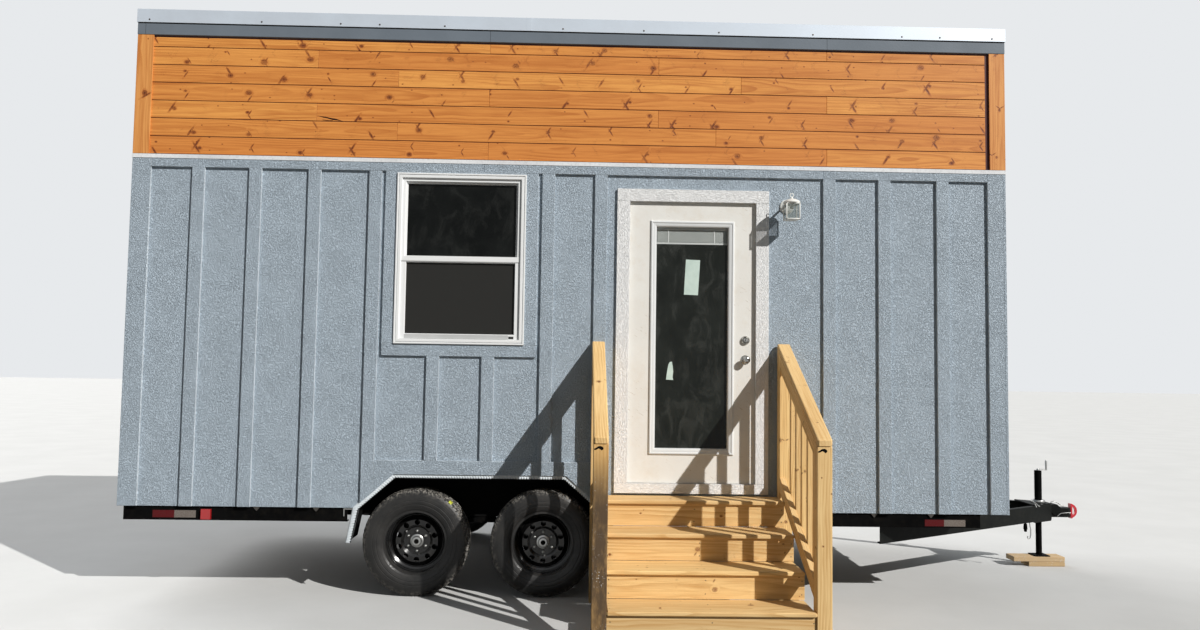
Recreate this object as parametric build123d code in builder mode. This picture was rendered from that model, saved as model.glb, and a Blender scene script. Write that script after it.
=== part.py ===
from build123d import *
import os
from math import atan, cos, degrees, radians, sin, tan

os.makedirs("parts", exist_ok=True)

# A small board-and-batten house on a two-axle trailer, in millimetres.
# Sizes are first laid out from the left front corner of the siding: X runs along the house
# towards the hitch, Y runs from the door wall to the back wall, and Z is up from the ground.
# save() then moves each piece so that the origin is under the middle of the whole object.

# Body
bodyLength = 6188
bodyWidth = 2536
wallThickness = 110
sidingThickness = 11
sidingBottom = 612
beltHeight = 28
flashingThickness = 2
flashingLap = 3
flatTrim = 19

# Roof, high at the door wall
roofEdgeTop = 4112
trimHeight = 96
trimThickness = 5
fasciaHeight = 86
fasciaThickness = 22
roofSlope = 0.125
deckThickness = 120
sheetRibHeight = 19
sheetThickness = 3
ribSpacing = 305
ribWidth = 44

# Wood band
claddingThickness = 10
claddingGap = 4
cornerPostWidth = 114
cornerPostThickness = 10

# Battens
battenWidth = 89
cornerBoardWidth = 114
friezeDepth = 60
battensFromLeft = [446, 845, 1261, 1690, 2917, 3292]
battenShares = [0.275, 0.526, 0.793]
backBattenCount = 6
shortBattenShares = [0.305, 0.727]
archBoardHeight = 97
archBoardDrop = 10
archBattenIndex = 3
endBattenCount = 5
openingToFrieze = 13

# Window
windowLeft = 1846
windowBottom = 1758
windowWidth = 914
windowHeight = 1212
windowRim = 36
windowSashWidth = 36
windowFrameDepth = 82
windowProud = 8
surroundWidth = 84
glassThickness = 6
screenThickness = 3

# Door
doorLeft = 3494
doorWidth = 911
doorBottom = 806
doorHeight = 2005
doorThickness = 44.5
doorSetback = 8
hingeGap = 5
latchGap = 8
headGap = 6
jambThickness = 19
thresholdHeight = 13
casingWidth = 92
casingReveal = 6
casingCover = 3
sillBoardHeight = 69
casingToBatten = 18
doorStile = 155.5
doorTopRail = 146
doorBottomRail = 199
liteBorder = 45
liteProud = 12
liteLap = 20
doorGlassThickness = 8
blindHeight = 105
knobAboveDoorBottom = 873
boltAboveKnob = 139
knobBackset = 73
roseRadius = 33
knobRadius = 27
knobReach = 62
spindleRadius = 6
hingeRadius = 7
hingePinRadius = 3.5
hingeHeight = 100
hingeInset = 204
hingePlateThickness = 2
hingeLeafReach = 34

# Floor and trailer frame
frameTop = 666
railHeight = 152
railSetback = 14
frameSetbackFront = 178
railFlange = 50
steelThickness = 7
floorThickness = 120
mainRailY = 300
crossMemberWidth = 50
crossMemberHeight = 102
crossMemberCount = 11

# Running gear
axleMiddle = 2474
axleSpacing = 889
tyreRadius = 372
tyreWidth = 228
tyreFaceY = 46
rimRadius = 218
rimOpening = 190
axleTubeRadius = 38
axleSpindleRadius = 20
hubRadius = 52
drumRadius = 152
discHoleCount = 10
discHoleRadius = 19
discHoleCircle = 128
springHalfLength = 330
springWidth = 45
leafThickness = 8
leafCount = 4
springRise = 40
springEyeRadius = 15
shacklePinRadius = 8

# Lamps on the trailer frame
lampInset = 585
lampWidth = 66
lampHeight = 70
lampDepth = 20
lampAboveRailBottom = 8
tailLampInset = 230
tailLampWidth = 160

# Wheel arches
archTop = 848
archHalfTop = 601
archHalfBottom = 870
archLegSpread = 44
archLegDrop = 239
fenderLip = 30
fenderThickness = 5
fenderProud = 8
fenderDepth = 296

# Tongue, coupler and jack
tongueHeight = 127
tongueFlange = 45
tongueReach = 970
tongueUnderBody = 880
tongueHalfAngle = 32
couplerLength = 182
couplerWidth = 96
couplerNoseHeight = 77
couplerSlope = 32
ballSocketRadius = 30
lockReach = 61
lockHoopHole = 43
lockHoopWidth = 18
lockPlateThickness = 14
lockPlateWidth = 44
lockAboveCouplerBottom = 48
jackFromBody = 885
jackPlateReach = 120
jackPlateThickness = 10
jackTubeRadius = 29
jackLegRadius = 24
jackTop = 792
jackTubeBottom = 400
jackTravel = 240
footSize = 125
footThickness = 8
crankLength = 72
gripHeight = 80
gripRadius = 10
topBlockLength = 434
topBlockHeight = 40
topBlockShift = -33
lowBlockLength = 306
lowBlockHeight = 40
lowBlockShift = 31
blockWidth = 140

# Stairs
stairLeft = 3332
stairWidth = 1222
topTreadHeight = 723
stepRise = 172
stepRun = 279
firstNose = 263
treadThickness = 27
noseOverhang = 20
riserThickness = 20
stepCount = 4
postSize = 89
capOverhang = 6
stringerThickness = 38
railBoard = 38
capTopAtWall = 1776
railSlopeShare = 0.89
bottomRailRise = 60
subRailDepth = 89
balusterCount = 5

# Lantern
lanternX = 4625
lanternReach = 150
lanternTop = 2850
lanternHeight = 190
lanternWidth = 124
backplateRadius = 52

seat = 0.3
cut = 1
windowTop = windowBottom + windowHeight
windowRight = windowLeft + windowWidth
doorTop = doorBottom + doorHeight
doorRight = doorLeft + doorWidth
liteLeft = doorLeft + doorStile
liteRight = doorRight - doorStile
liteBottom = doorBottom + doorBottomRail
liteTop = doorTop - doorTopRail
knobHeight = doorBottom + knobAboveDoorBottom
hingeHeights = [doorBottom + hingeInset, (doorBottom + doorTop) / 2, doorTop - hingeInset]
openingLeft = doorLeft - hingeGap - jambThickness
openingRight = doorRight + latchGap + jambThickness
openingTop = doorTop + headGap + jambThickness
openingBottom = frameTop + floorThickness + seat

# The casing covers the gap round the door and a little of the slab
casingInnerLeft = doorLeft + casingReveal
casingInnerRight = doorRight - casingCover
casingOuterLeft = casingInnerLeft - casingWidth
casingOuterRight = casingInnerRight + casingWidth
casingInnerTop = doorTop - 2 * casingReveal
casingInnerBottom = doorBottom - cut
casingTop = casingInnerTop + battenWidth

# The belt sits above the frieze board, which clears the window and the door casing
friezeBottom = max(windowTop, casingTop) + openingToFrieze
beltBottom = friezeBottom + friezeDepth
cornerInner = bodyLength - cornerBoardWidth
battenCentres = battensFromLeft + [
    casingOuterRight + share * (cornerInner - casingOuterRight) for share in battenShares
]
shortBattenCentres = [windowLeft + share * windowWidth for share in shortBattenShares]
bodyCentreY = bodyWidth / 2
stairRight = stairLeft + stairWidth
lampBottom = frameTop - railHeight + lampAboveRailBottom
stairFront = firstNose + (stepCount - 1) * stepRun
trimOut = fasciaThickness + trimThickness
slopeAngle = degrees(atan(roofSlope))
couplerFront = bodyLength + tongueReach + couplerLength
frameFront = bodyLength - frameSetbackFront

# The middle of the whole object, from its outermost pieces
centreX = (couplerFront + lockReach - trimOut) / 2
centreY = (bodyWidth + trimOut - stairFront) / 2


def save(piece, label):
    placed = piece.part.moved(Location((-centreX, -centreY, 0)))
    placed.label = label
    export_step(placed, f"parts/{label}.step")


# A rectangular piece between two values on each axis
def block(x, y, z, mode=Mode.ADD):
    with Locations(((x[0] + x[1]) / 2, (y[0] + y[1]) / 2, (z[0] + z[1]) / 2)):
        Box(x[1] - x[0], y[1] - y[0], z[1] - z[0], mode=mode)


# An outline of (y, z) points, drawn out along X
def alongX(points, x0, x1, mode=Mode.ADD):
    with BuildSketch(Plane.YZ.offset(x0)) as outline:
        with BuildLine():
            Polyline(*points, close=True)
        make_face()
    extrude(outline.sketch, amount=x1 - x0, mode=mode)


# An outline of (x, z) points, drawn out along Y
def alongY(points, y0, y1, mode=Mode.ADD):
    with BuildSketch(Plane.XZ.offset(-y0)) as outline:
        with BuildLine():
            Polyline(*points, close=True)
        make_face()
    extrude(outline.sketch, amount=y0 - y1, mode=mode)


# A round bar from one point to another
def rod(start, end, radius, mode=Mode.ADD):
    run = Vector(end) - Vector(start)
    with BuildSketch(Plane(origin=start, z_dir=run)) as section:
        Circle(radius)
    extrude(section.sketch, amount=run.length, mode=mode)


# Heights of the roof edge at a distance y behind the front siding
def edgeTop(y):
    return roofEdgeTop - roofSlope * (y + trimOut)


def trimBottom(y):
    return edgeTop(y) - trimHeight


def fasciaBottom(y):
    return trimBottom(y) - fasciaHeight


def deckTop(y):
    return edgeTop(y) - sheetRibHeight - sheetThickness - trimThickness


def deckUnder(y):
    return deckTop(y) - deckThickness


# The same distance in from the back wall
def fromBack(y):
    return bodyWidth - y


# The outline of a wheel arch, moved in by a distance
def archPoints(inset=0, legs=True):
    slant = (archTop - sidingBottom) / (archHalfBottom - archHalfTop)
    foot = sidingBottom - archLegDrop
    halfTop = archHalfTop - inset * 0.45
    halfBottom = archHalfBottom - inset * 1.15
    halfFoot = archHalfBottom + archLegSpread - inset * 1.02
    top = archTop - inset
    footX = halfFoot if legs else halfBottom
    half = [(footX, foot), (halfBottom, top - slant * (halfBottom - halfTop)), (halfTop, top)]
    left = [(axleMiddle - x, z) for x, z in half]
    right = [(axleMiddle + x, z) for x, z in reversed(half)]
    return left + right


# A long wall standing on the frame, with its siding lapping over the frame's side.
# y0 is the outer face and inward is +1 on the front wall and -1 on the back wall.
def longWall(y0, inward, x0, x1):
    skin = y0 + inward * sidingThickness
    inner = y0 + inward * wallThickness
    alongX(
        [
            (y0, sidingBottom),
            (skin, sidingBottom),
            (skin, frameTop),
            (inner, frameTop),
            (inner, deckUnder(inner)),
            (y0, deckUnder(y0)),
        ],
        x0,
        x1,
    )


with BuildPart() as frontWallLeft:
    longWall(0, 1, 0, openingLeft)
    block((windowLeft, windowRight), (-1, wallThickness + 1), (windowBottom, windowTop), Mode.SUBTRACT)
    alongY(archPoints(legs=False), -1, wallThickness + 1, Mode.SUBTRACT)
save(frontWallLeft, "front_wall_left")

with BuildPart() as frontWallRight:
    longWall(0, 1, openingRight, bodyLength)
save(frontWallRight, "front_wall_right")

with BuildPart() as frontWallHeader:
    alongX(
        [
            (0, openingTop),
            (wallThickness, openingTop),
            (wallThickness, deckUnder(wallThickness)),
            (0, deckUnder(0)),
        ],
        openingLeft,
        openingRight,
    )
    block((openingLeft, openingRight), (0, sidingThickness), (sidingBottom, openingBottom))
    block((openingLeft, openingRight), (sidingThickness, wallThickness), (frameTop, openingBottom))
save(frontWallHeader, "front_wall_header")

with BuildPart() as backWall:
    longWall(bodyWidth, -1, 0, bodyLength)
    block(
        (windowLeft, windowRight),
        (fromBack(wallThickness) - 1, bodyWidth + 1),
        (windowBottom, windowTop),
        Mode.SUBTRACT,
    )
    alongY(archPoints(legs=False), fromBack(wallThickness) - 1, bodyWidth + 1, Mode.SUBTRACT)
save(backWall, "back_wall")

with BuildPart() as endWalls:
    for outer, inward in ((0, 1), (bodyLength, -1)):
        skin = outer + inward * sidingThickness
        inner = outer + inward * wallThickness
        alongX(
            [
                (wallThickness, frameTop),
                (fromBack(wallThickness), frameTop),
                (fromBack(wallThickness), deckUnder(fromBack(wallThickness))),
                (wallThickness, deckUnder(wallThickness)),
            ],
            min(outer, inner),
            max(outer, inner),
        )
        block(
            (min(outer, skin), max(outer, skin)),
            (wallThickness, fromBack(wallThickness)),
            (sidingBottom, frameTop),
        )
save(endWalls, "end_walls")


# Battens, corner boards and the frieze board on a long wall between two Y values
def longWallTrim(y0, y1, centres):
    top = beltBottom + beltHeight - flashingLap
    block((0, cornerBoardWidth), (y0, y1), (sidingBottom, top))
    block((bodyLength - cornerBoardWidth, bodyLength), (y0, y1), (sidingBottom, top))
    block((cornerBoardWidth, bodyLength - cornerBoardWidth), (y0, y1), (friezeBottom, top))
    for centre in centres:
        block(
            (centre - battenWidth / 2, centre + battenWidth / 2), (y0, y1), (sidingBottom, friezeBottom)
        )
    boardLeft = battenCentres[archBattenIndex] + battenWidth / 2
    boardRight = battenCentres[archBattenIndex + 2] - battenWidth / 2
    block((boardLeft, boardRight), (y0, y1), (archTop - archBoardDrop, archTop + archBoardHeight))
    surroundBottom = windowBottom - surroundWidth
    for centre in shortBattenCentres:
        block(
            (centre - battenWidth / 2, centre + battenWidth / 2),
            (y0, y1),
            (archTop + archBoardHeight, surroundBottom),
        )
    block(
        (windowLeft - surroundWidth, windowRight + surroundWidth), (y0, y1), (surroundBottom, friezeBottom)
    )
    block((windowLeft, windowRight), (y0 - 1, y1 + 1), (windowBottom, windowTop), Mode.SUBTRACT)
    alongY(archPoints(legs=False), y0 - 1, y1 + 1, Mode.SUBTRACT)


with BuildPart() as frontBattens:
    longWallTrim(-flatTrim, 0, battenCentres)
    block(
        (casingOuterLeft - seat, casingOuterRight + seat),
        (-flatTrim - cut, cut),
        (casingInnerBottom - sillBoardHeight - seat, casingTop + seat),
        Mode.SUBTRACT,
    )
save(frontBattens, "front_battens")

# On the back wall, even battens fill the stretch that holds the door on the front
backGap = (cornerInner - battensFromLeft[-1]) / (backBattenCount + 1)
doorwayBattens = [battensFromLeft[-1] + backGap * (index + 1) for index in range(backBattenCount)]

with BuildPart() as backBattens:
    longWallTrim(bodyWidth, bodyWidth + flatTrim, battensFromLeft + doorwayBattens)
save(backBattens, "back_battens")

with BuildPart() as endBattens:
    top = beltBottom + beltHeight - flashingLap
    spacing = (bodyWidth + 2 * flatTrim - cornerBoardWidth) / (endBattenCount + 1)
    for x in ((-flatTrim, 0), (bodyLength, bodyLength + flatTrim)):
        block(x, (-flatTrim, cornerBoardWidth - flatTrim), (sidingBottom, top))
        block(x, (fromBack(cornerBoardWidth - flatTrim), fromBack(-flatTrim)), (sidingBottom, top))
        block(x, (cornerBoardWidth - flatTrim, fromBack(cornerBoardWidth - flatTrim)), (friezeBottom, top))
        for index in range(endBattenCount):
            centre = -flatTrim + cornerBoardWidth / 2 + spacing * (index + 1)
            block(x, (centre - battenWidth / 2, centre + battenWidth / 2), (sidingBottom, friezeBottom))
save(endBattens, "end_battens")

# Flashing that laps over the top of the frieze boards, all the way round
with BuildPart() as beltFlashing:
    inside = flatTrim + flashingLap / 3
    outside = inside + flashingThickness
    top = beltBottom + beltHeight
    block((-outside, bodyLength + outside), (-outside, bodyWidth + outside), (beltBottom, top))
    block(
        (-inside, bodyLength + inside),
        (-inside, bodyWidth + inside),
        (beltBottom - cut, top - flashingThickness),
        Mode.SUBTRACT,
    )
    block((0, bodyLength), (0, bodyWidth), (beltBottom - cut, top + cut), Mode.SUBTRACT)
save(beltFlashing, "belt_flashing")

claddingBottom = beltBottom + beltHeight + claddingGap

with BuildPart() as frontCladding:
    block((0, bodyLength), (-claddingThickness, 0), (claddingBottom, fasciaBottom(0)))
save(frontCladding, "front_cladding")

with BuildPart() as backCladding:
    block(
        (0, bodyLength),
        (bodyWidth, bodyWidth + claddingThickness),
        (claddingBottom, fasciaBottom(bodyWidth + claddingThickness)),
    )
save(backCladding, "back_cladding")

with BuildPart() as endCladding:
    for x in (-claddingThickness, bodyLength):
        alongX(
            [
                (-claddingThickness, claddingBottom),
                (bodyWidth + claddingThickness, claddingBottom),
                (bodyWidth + claddingThickness, fasciaBottom(bodyWidth + claddingThickness)),
                (-claddingThickness, fasciaBottom(-claddingThickness)),
            ],
            x,
            x + claddingThickness,
        )
save(endCladding, "end_cladding")

# An angle of two boards over each corner of the wood band
with BuildPart() as claddingCorners:
    inner = claddingThickness
    outer = claddingThickness + cornerPostThickness
    for xFace, xOut in ((0, -1), (bodyLength, 1)):
        for yFace, yOut in ((0, -1), (bodyWidth, 1)):
            yCorner = yFace + yOut * outer
            with BuildSketch(Plane.XY.offset(claddingBottom)):
                with BuildLine():
                    Polyline(
                        (xFace + xOut * outer, yCorner),
                        (xFace + xOut * outer, yCorner - yOut * cornerPostWidth),
                        (xFace + xOut * inner, yCorner - yOut * cornerPostWidth),
                        (xFace + xOut * inner, yFace + yOut * inner),
                        (xFace + xOut * (outer - cornerPostWidth), yFace + yOut * inner),
                        (xFace + xOut * (outer - cornerPostWidth), yCorner),
                        close=True,
                    )
                make_face()
            low = fasciaBottom(max(yCorner, yCorner - yOut * cornerPostWidth))
            extrude(amount=low - claddingBottom)
save(claddingCorners, "cladding_corners")

# Floor with a notch over each wheel arch
with BuildPart() as floor:
    block(
        (wallThickness, bodyLength - wallThickness),
        (wallThickness, fromBack(wallThickness)),
        (frameTop, frameTop + floorThickness),
    )
    half = archHalfBottom + 2
    notch = fenderDepth + fenderThickness + 3
    for y in ((wallThickness - 1, notch), (fromBack(notch), fromBack(wallThickness) + 1)):
        block((axleMiddle - half, axleMiddle + half), y, (frameTop - 1, archTop), Mode.SUBTRACT)
save(floor, "floor")

with BuildPart() as roofDeck:
    alongX(
        [
            (0, deckUnder(0)),
            (bodyWidth, deckUnder(bodyWidth)),
            (bodyWidth, deckTop(bodyWidth)),
            (0, deckTop(0)),
        ],
        0,
        bodyLength,
    )
save(roofDeck, "roof_deck")


# Ribbed metal sheets: one ribbed outline drawn out down the slope
def ribbedOutline(z):
    upper = [(0, z + sheetThickness)]
    lower = [(0, z)]
    ribCount = int(bodyLength // ribSpacing)
    for index in range(1, ribCount + 1):
        x = index * ribSpacing
        foot = ribWidth / 2
        crown = ribWidth / 4
        rise = [(x - foot, 0), (x - crown, sheetRibHeight), (x + crown, sheetRibHeight), (x + foot, 0)]
        upper += [(px, z + sheetThickness + pz) for px, pz in rise]
        lower += [(px, z + pz) for px, pz in rise]
    upper.append((bodyLength, z + sheetThickness))
    lower.append((bodyLength, z))
    return upper + lower[::-1]


with BuildPart() as roofSheets:
    with BuildSketch(Plane.XZ):
        with BuildLine():
            Polyline(*ribbedOutline(deckTop(0)), close=True)
        make_face()
    extrude(amount=bodyWidth / cos(radians(slopeAngle)), dir=(0, 1, -roofSlope))
save(roofSheets, "roof_sheets")


# A band round the roof edge that follows the slope at the ends
def edgeBand(outside, inside, topAt, bottomAt):
    for y in ((-outside, -inside), (bodyWidth + inside, bodyWidth + outside)):
        alongX(
            [
                (y[0], bottomAt(y[0])),
                (y[1], bottomAt(y[1])),
                (y[1], topAt(y[1])),
                (y[0], topAt(y[0])),
            ],
            -outside,
            bodyLength + outside,
        )
    for x in ((-outside, -inside), (bodyLength + inside, bodyLength + outside)):
        alongX(
            [
                (-outside, bottomAt(-outside)),
                (bodyWidth + outside, bottomAt(bodyWidth + outside)),
                (bodyWidth + outside, topAt(bodyWidth + outside)),
                (-outside, topAt(-outside)),
            ],
            x[0],
            x[1],
        )


def trimLipUnder(y):
    return edgeTop(y) - trimThickness


with BuildPart() as roofTrim:
    edgeBand(trimOut, fasciaThickness, edgeTop, trimBottom)
    edgeBand(fasciaThickness, -60, edgeTop, trimLipUnder)
save(roofTrim, "roof_trim")

with BuildPart() as fascia:
    edgeBand(fasciaThickness, 0, trimLipUnder, fasciaBottom)
save(fascia, "fascia")


# A flat frame of one width between two Y values
def flatFrame(x0, x1, z0, z1, width, y0, y1):
    block((x0, x1), (y0, y1), (z0, z1))
    block((x0 + width, x1 - width), (y0 - 1, y1 + 1), (z0 + width, z1 - width), Mode.SUBTRACT)


windowMiddle = (windowBottom + windowTop) / 2


# One window, outer face at y0, with depth going the way of inward
def windowSpan(y0, inward, near, far):
    a = y0 + inward * near
    b = y0 + inward * far
    return (min(a, b), max(a, b))


def windowFrame(y0, inward):
    outer = windowSpan(y0, inward, -windowProud, windowFrameDepth)
    flatFrame(windowLeft, windowRight, windowBottom, windowTop, windowRim, *outer)
    upper = windowSpan(y0, inward, 10, 30)
    lower = windowSpan(y0, inward, 34, 54)
    inner = windowRim
    flatFrame(
        windowLeft + inner,
        windowRight - inner,
        windowMiddle - windowSashWidth / 2,
        windowTop - inner,
        windowSashWidth,
        *upper,
    )
    flatFrame(
        windowLeft + inner,
        windowRight - inner,
        windowBottom + inner,
        windowMiddle + windowSashWidth / 2,
        windowSashWidth,
        *lower,
    )
    rail = windowSpan(y0, inward, 30, 34)
    block(
        (windowLeft + inner, windowRight - inner),
        rail,
        (windowMiddle - windowSashWidth / 2, windowMiddle + windowSashWidth / 2),
    )


with BuildPart() as windowFrames:
    windowFrame(0, 1)
    windowFrame(bodyWidth, -1)
save(windowFrames, "window_frames")

with BuildPart() as windowGlass:
    for y0, inward in ((0, 1), (bodyWidth, -1)):
        inner = windowRim + windowSashWidth
        upper = windowSpan(y0, inward, 17, 17 + glassThickness)
        lower = windowSpan(y0, inward, 41, 41 + glassThickness)
        block(
            (windowLeft + inner, windowRight - inner),
            upper,
            (windowMiddle + windowSashWidth / 2, windowTop - inner),
        )
        block(
            (windowLeft + inner, windowRight - inner),
            lower,
            (windowBottom + inner, windowMiddle - windowSashWidth / 2),
        )
save(windowGlass, "window_glass")

with BuildPart() as windowScreens:
    for y0, inward in ((0, 1), (bodyWidth, -1)):
        inner = windowRim
        y = windowSpan(y0, inward, 4, 4 + screenThickness)
        block((windowLeft + inner, windowRight - inner), y, (windowBottom + inner, windowMiddle))
save(windowScreens, "window_screens")

# Door frame: side jambs, head and threshold, with the fixed half of each hinge
jambDepth = doorSetback + doorThickness
hingeX = doorLeft - hingeGap / 2
hingeY = jambDepth + hingeRadius + 1.5
knuckle = hingeHeight / 3

with BuildPart() as doorFrame:
    block((openingLeft, openingLeft + jambThickness), (0, jambDepth), (openingBottom, openingTop))
    block((openingRight - jambThickness, openingRight), (0, jambDepth), (openingBottom, openingTop))
    block(
        (openingLeft + jambThickness, openingRight - jambThickness),
        (0, jambDepth),
        (openingTop - jambThickness, openingTop),
    )
    block(
        (openingLeft + jambThickness, openingRight - jambThickness),
        (0, wallThickness),
        (openingBottom, openingBottom + thresholdHeight),
    )
    jambFace = openingLeft + jambThickness
    for z in hingeHeights:
        for low, high in ((z - hingeHeight / 2, z - knuckle / 2), (z + knuckle / 2, z + hingeHeight / 2)):
            rod((hingeX, hingeY, low), (hingeX, hingeY, high), hingeRadius)
            block((jambFace, jambFace + hingePlateThickness), (jambDepth - hingeLeafReach, hingeY), (low, high))
        rod((hingeX, hingeY, z - knuckle), (hingeX, hingeY, z + knuckle), hingePinRadius)
save(doorFrame, "door_frame")

with BuildPart() as doorCasing:
    y = (-flatTrim, 0)
    block((casingOuterLeft, casingInnerLeft), y, (casingInnerBottom, casingInnerTop))
    block((casingInnerRight, casingOuterRight), y, (casingInnerBottom, casingInnerTop))
    block((casingOuterLeft, casingOuterRight), y, (casingInnerTop, casingTop))
    sill = (casingInnerBottom - sillBoardHeight, casingInnerBottom)
    block((casingOuterLeft, casingOuterRight), y, sill)
save(doorCasing, "door_casing")

# Door slab with its glass opening and lock holes
doorFront = doorSetback
doorBack = doorSetback + doorThickness
knobX = doorRight - knobBackset

with BuildPart() as doorSlab:
    block((doorLeft, doorRight), (doorFront, doorBack), (doorBottom, doorBottom + doorHeight))
    block(
        (liteLeft + liteLap, liteRight - liteLap),
        (doorFront - 1, doorBack + 1),
        (liteBottom + liteLap, liteTop - liteLap),
        Mode.SUBTRACT,
    )
    rod((knobX, doorFront - 1, knobHeight), (knobX, doorBack + 1, knobHeight), spindleRadius * 2, Mode.SUBTRACT)
save(doorSlab, "door_slab")

glassFront = (doorFront + doorBack - doorGlassThickness) / 2
glassBack = glassFront + doorGlassThickness

with BuildPart() as doorLiteFrame:
    for plate, tube in (
        ((doorFront - liteProud, doorFront), (doorFront, glassFront)),
        ((doorBack, doorBack + liteProud), (glassBack, doorBack)),
    ):
        block((liteLeft, liteRight), plate, (liteBottom, liteTop))
        block(
            (liteLeft + liteLap, liteRight - liteLap), tube, (liteBottom + liteLap, liteTop - liteLap)
        )
        block(
            (liteLeft + liteBorder, liteRight - liteBorder),
            (min(plate[0], tube[0]) - 1, max(plate[1], tube[1]) + 1),
            (liteBottom + liteBorder, liteTop - liteBorder),
            Mode.SUBTRACT,
        )
save(doorLiteFrame, "door_lite_frame")

with BuildPart() as doorGlass:
    block(
        (liteLeft + liteLap, liteRight - liteLap),
        (glassFront, glassBack),
        (liteBottom + liteLap, liteTop - liteLap),
    )
save(doorGlass, "door_glass")

with BuildPart() as doorBlind:
    block(
        (liteLeft + liteBorder + 2, liteRight - liteBorder - 2),
        (glassBack + 2, doorBack - 1),
        (liteTop - liteBorder - blindHeight, liteTop - liteBorder),
    )
save(doorBlind, "door_blind")


# A stack of discs about a line along Y: each is (distance from the start, radius)
def turnedAboutY(x, z, steps, mode=Mode.ADD):
    points = [(0, steps[0][0])] + [(radius, y) for y, radius in steps] + [(0, steps[-1][0])]
    with BuildSketch(Plane(origin=(x, 0, z), x_dir=(1, 0, 0), z_dir=(0, 0, 1))) as outline:
        with BuildLine():
            Polyline(*points, close=True)
        make_face()
    revolve(outline.sketch, axis=Axis((x, 0, z), (0, 1, 0)), mode=mode)


roseDepth = 9
boltHeight = knobHeight + boltAboveKnob

with BuildPart() as doorLock:
    for face, out in ((doorFront, -1), (doorBack, 1)):
        turnedAboutY(
            knobX,
            knobHeight,
            [(face, roseRadius), (face + out * 4, roseRadius), (face + out * roseDepth, roseRadius - 6)],
        )
        turnedAboutY(
            knobX,
            boltHeight,
            [(face, roseRadius - 2), (face + out * 10, roseRadius - 4), (face + out * 17, 20)],
        )
    rod(
        (knobX, doorFront - roseDepth - 1, knobHeight),
        (knobX, doorBack + roseDepth + 1, knobHeight),
        spindleRadius + 1,
        Mode.SUBTRACT,
    )
save(doorLock, "door_lock")

with BuildPart() as doorKnob:
    rod(
        (knobX, doorFront - roseDepth - 20, knobHeight),
        (knobX, doorBack + roseDepth + 20, knobHeight),
        spindleRadius,
    )
    for face, out in ((doorFront, -1), (doorBack, 1)):
        turnedAboutY(
            knobX,
            knobHeight,
            [
                (face + out * (roseDepth + 1), 12),
                (face + out * 22, 12),
                (face + out * 32, knobRadius - 3),
                (face + out * 44, knobRadius),
                (face + out * 56, knobRadius - 4),
                (face + out * knobReach, knobRadius - 14),
            ],
        )
save(doorKnob, "door_knob")

# The middle knuckle and the leaf of each hinge that turn with the door
with BuildPart() as doorHinges:
    for z in hingeHeights:
        rod((hingeX, hingeY, z - knuckle / 2 + seat), (hingeX, hingeY, z + knuckle / 2 - seat), hingeRadius)
        block(
            (doorLeft - hingePlateThickness, doorLeft),
            (doorBack - hingeLeafReach, hingeY),
            (z - knuckle / 2 + seat, z + knuckle / 2 - seat),
        )
        rod(
            (hingeX, hingeY, z - knuckle), (hingeX, hingeY, z + knuckle), hingePinRadius + seat, Mode.SUBTRACT
        )
save(doorHinges, "door_hinges")

# Stairs: sawtooth stringers, risers, treads
treadLevels = [topTreadHeight - index * stepRise for index in range(stepCount)]
noseLines = [-(firstNose + index * stepRun) for index in range(stepCount)]
treadBack = -flatTrim


def stringerOutline():
    points = [(treadBack, treadLevels[0] - treadThickness)]
    for level, nose in zip(treadLevels, noseLines):
        face = nose + noseOverhang + riserThickness
        points.append((face, level - treadThickness))
        points.append((face, level - stepRise - treadThickness))
    points[-1] = (points[-1][0], 0)
    points.append((points[-1][0] + 230, 0))
    points.append((treadBack, treadLevels[0] - treadThickness - 330))
    return points


with BuildPart() as stairStringers:
    inset = 30
    for x in (
        stairLeft + inset,
        (stairLeft + stairRight - stringerThickness) / 2,
        stairRight - inset - stringerThickness,
    ):
        alongX(stringerOutline(), x, x + stringerThickness)
save(stairStringers, "stair_stringers")

with BuildPart() as stairTreads:
    for index, (level, nose) in enumerate(zip(treadLevels, noseLines)):
        back = treadBack if index == 0 else noseLines[index - 1] + noseOverhang
        block((stairLeft, stairRight), (nose, back), (level - treadThickness, level))
save(stairTreads, "stair_treads")

with BuildPart() as stairRisers:
    for level, nose in zip(treadLevels, noseLines):
        face = nose + noseOverhang
        low = max(level - stepRise, 0)
        if level == treadLevels[-1]:
            low = 12
        block((stairLeft, stairRight), (face, face + riserThickness), (low, level - treadThickness))
save(stairRisers, "stair_risers")

# Rails: posts, sloping cap, sub-rail, bottom rail and balusters on both sides.
# They fall a little less steeply than the steps.
pitch = railSlopeShare * stepRise / stepRun
railAngle = degrees(atan(pitch))
postBackFace = -flatTrim
postFrontFace = -stairFront + capOverhang
railSides = (stairLeft - postSize, stairRight)


def capTop(y):
    return capTopAtWall + pitch * (y + 60)


def sloped(y0, y1, offsetTop, depth):
    return [
        (y0, capTop(y0) - offsetTop - depth),
        (y1, capTop(y1) - offsetTop - depth),
        (y1, capTop(y1) - offsetTop),
        (y0, capTop(y0) - offsetTop),
    ]


capDrop = railBoard / cos(radians(railAngle))
boardDrop = subRailDepth / cos(radians(railAngle))
bottomRailOffset = capTop(noseLines[0]) - treadLevels[0] - bottomRailRise

with BuildPart() as stairPosts:
    for x in railSides:
        for y in ((postBackFace - postSize, postBackFace), (postFrontFace, postFrontFace + postSize)):
            alongX(
                [
                    (y[0], 0),
                    (y[1], 0),
                    (y[1], capTop(y[1]) - capDrop),
                    (y[0], capTop(y[0]) - capDrop),
                ],
                x,
                x + postSize,
            )
save(stairPosts, "stair_posts")

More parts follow.
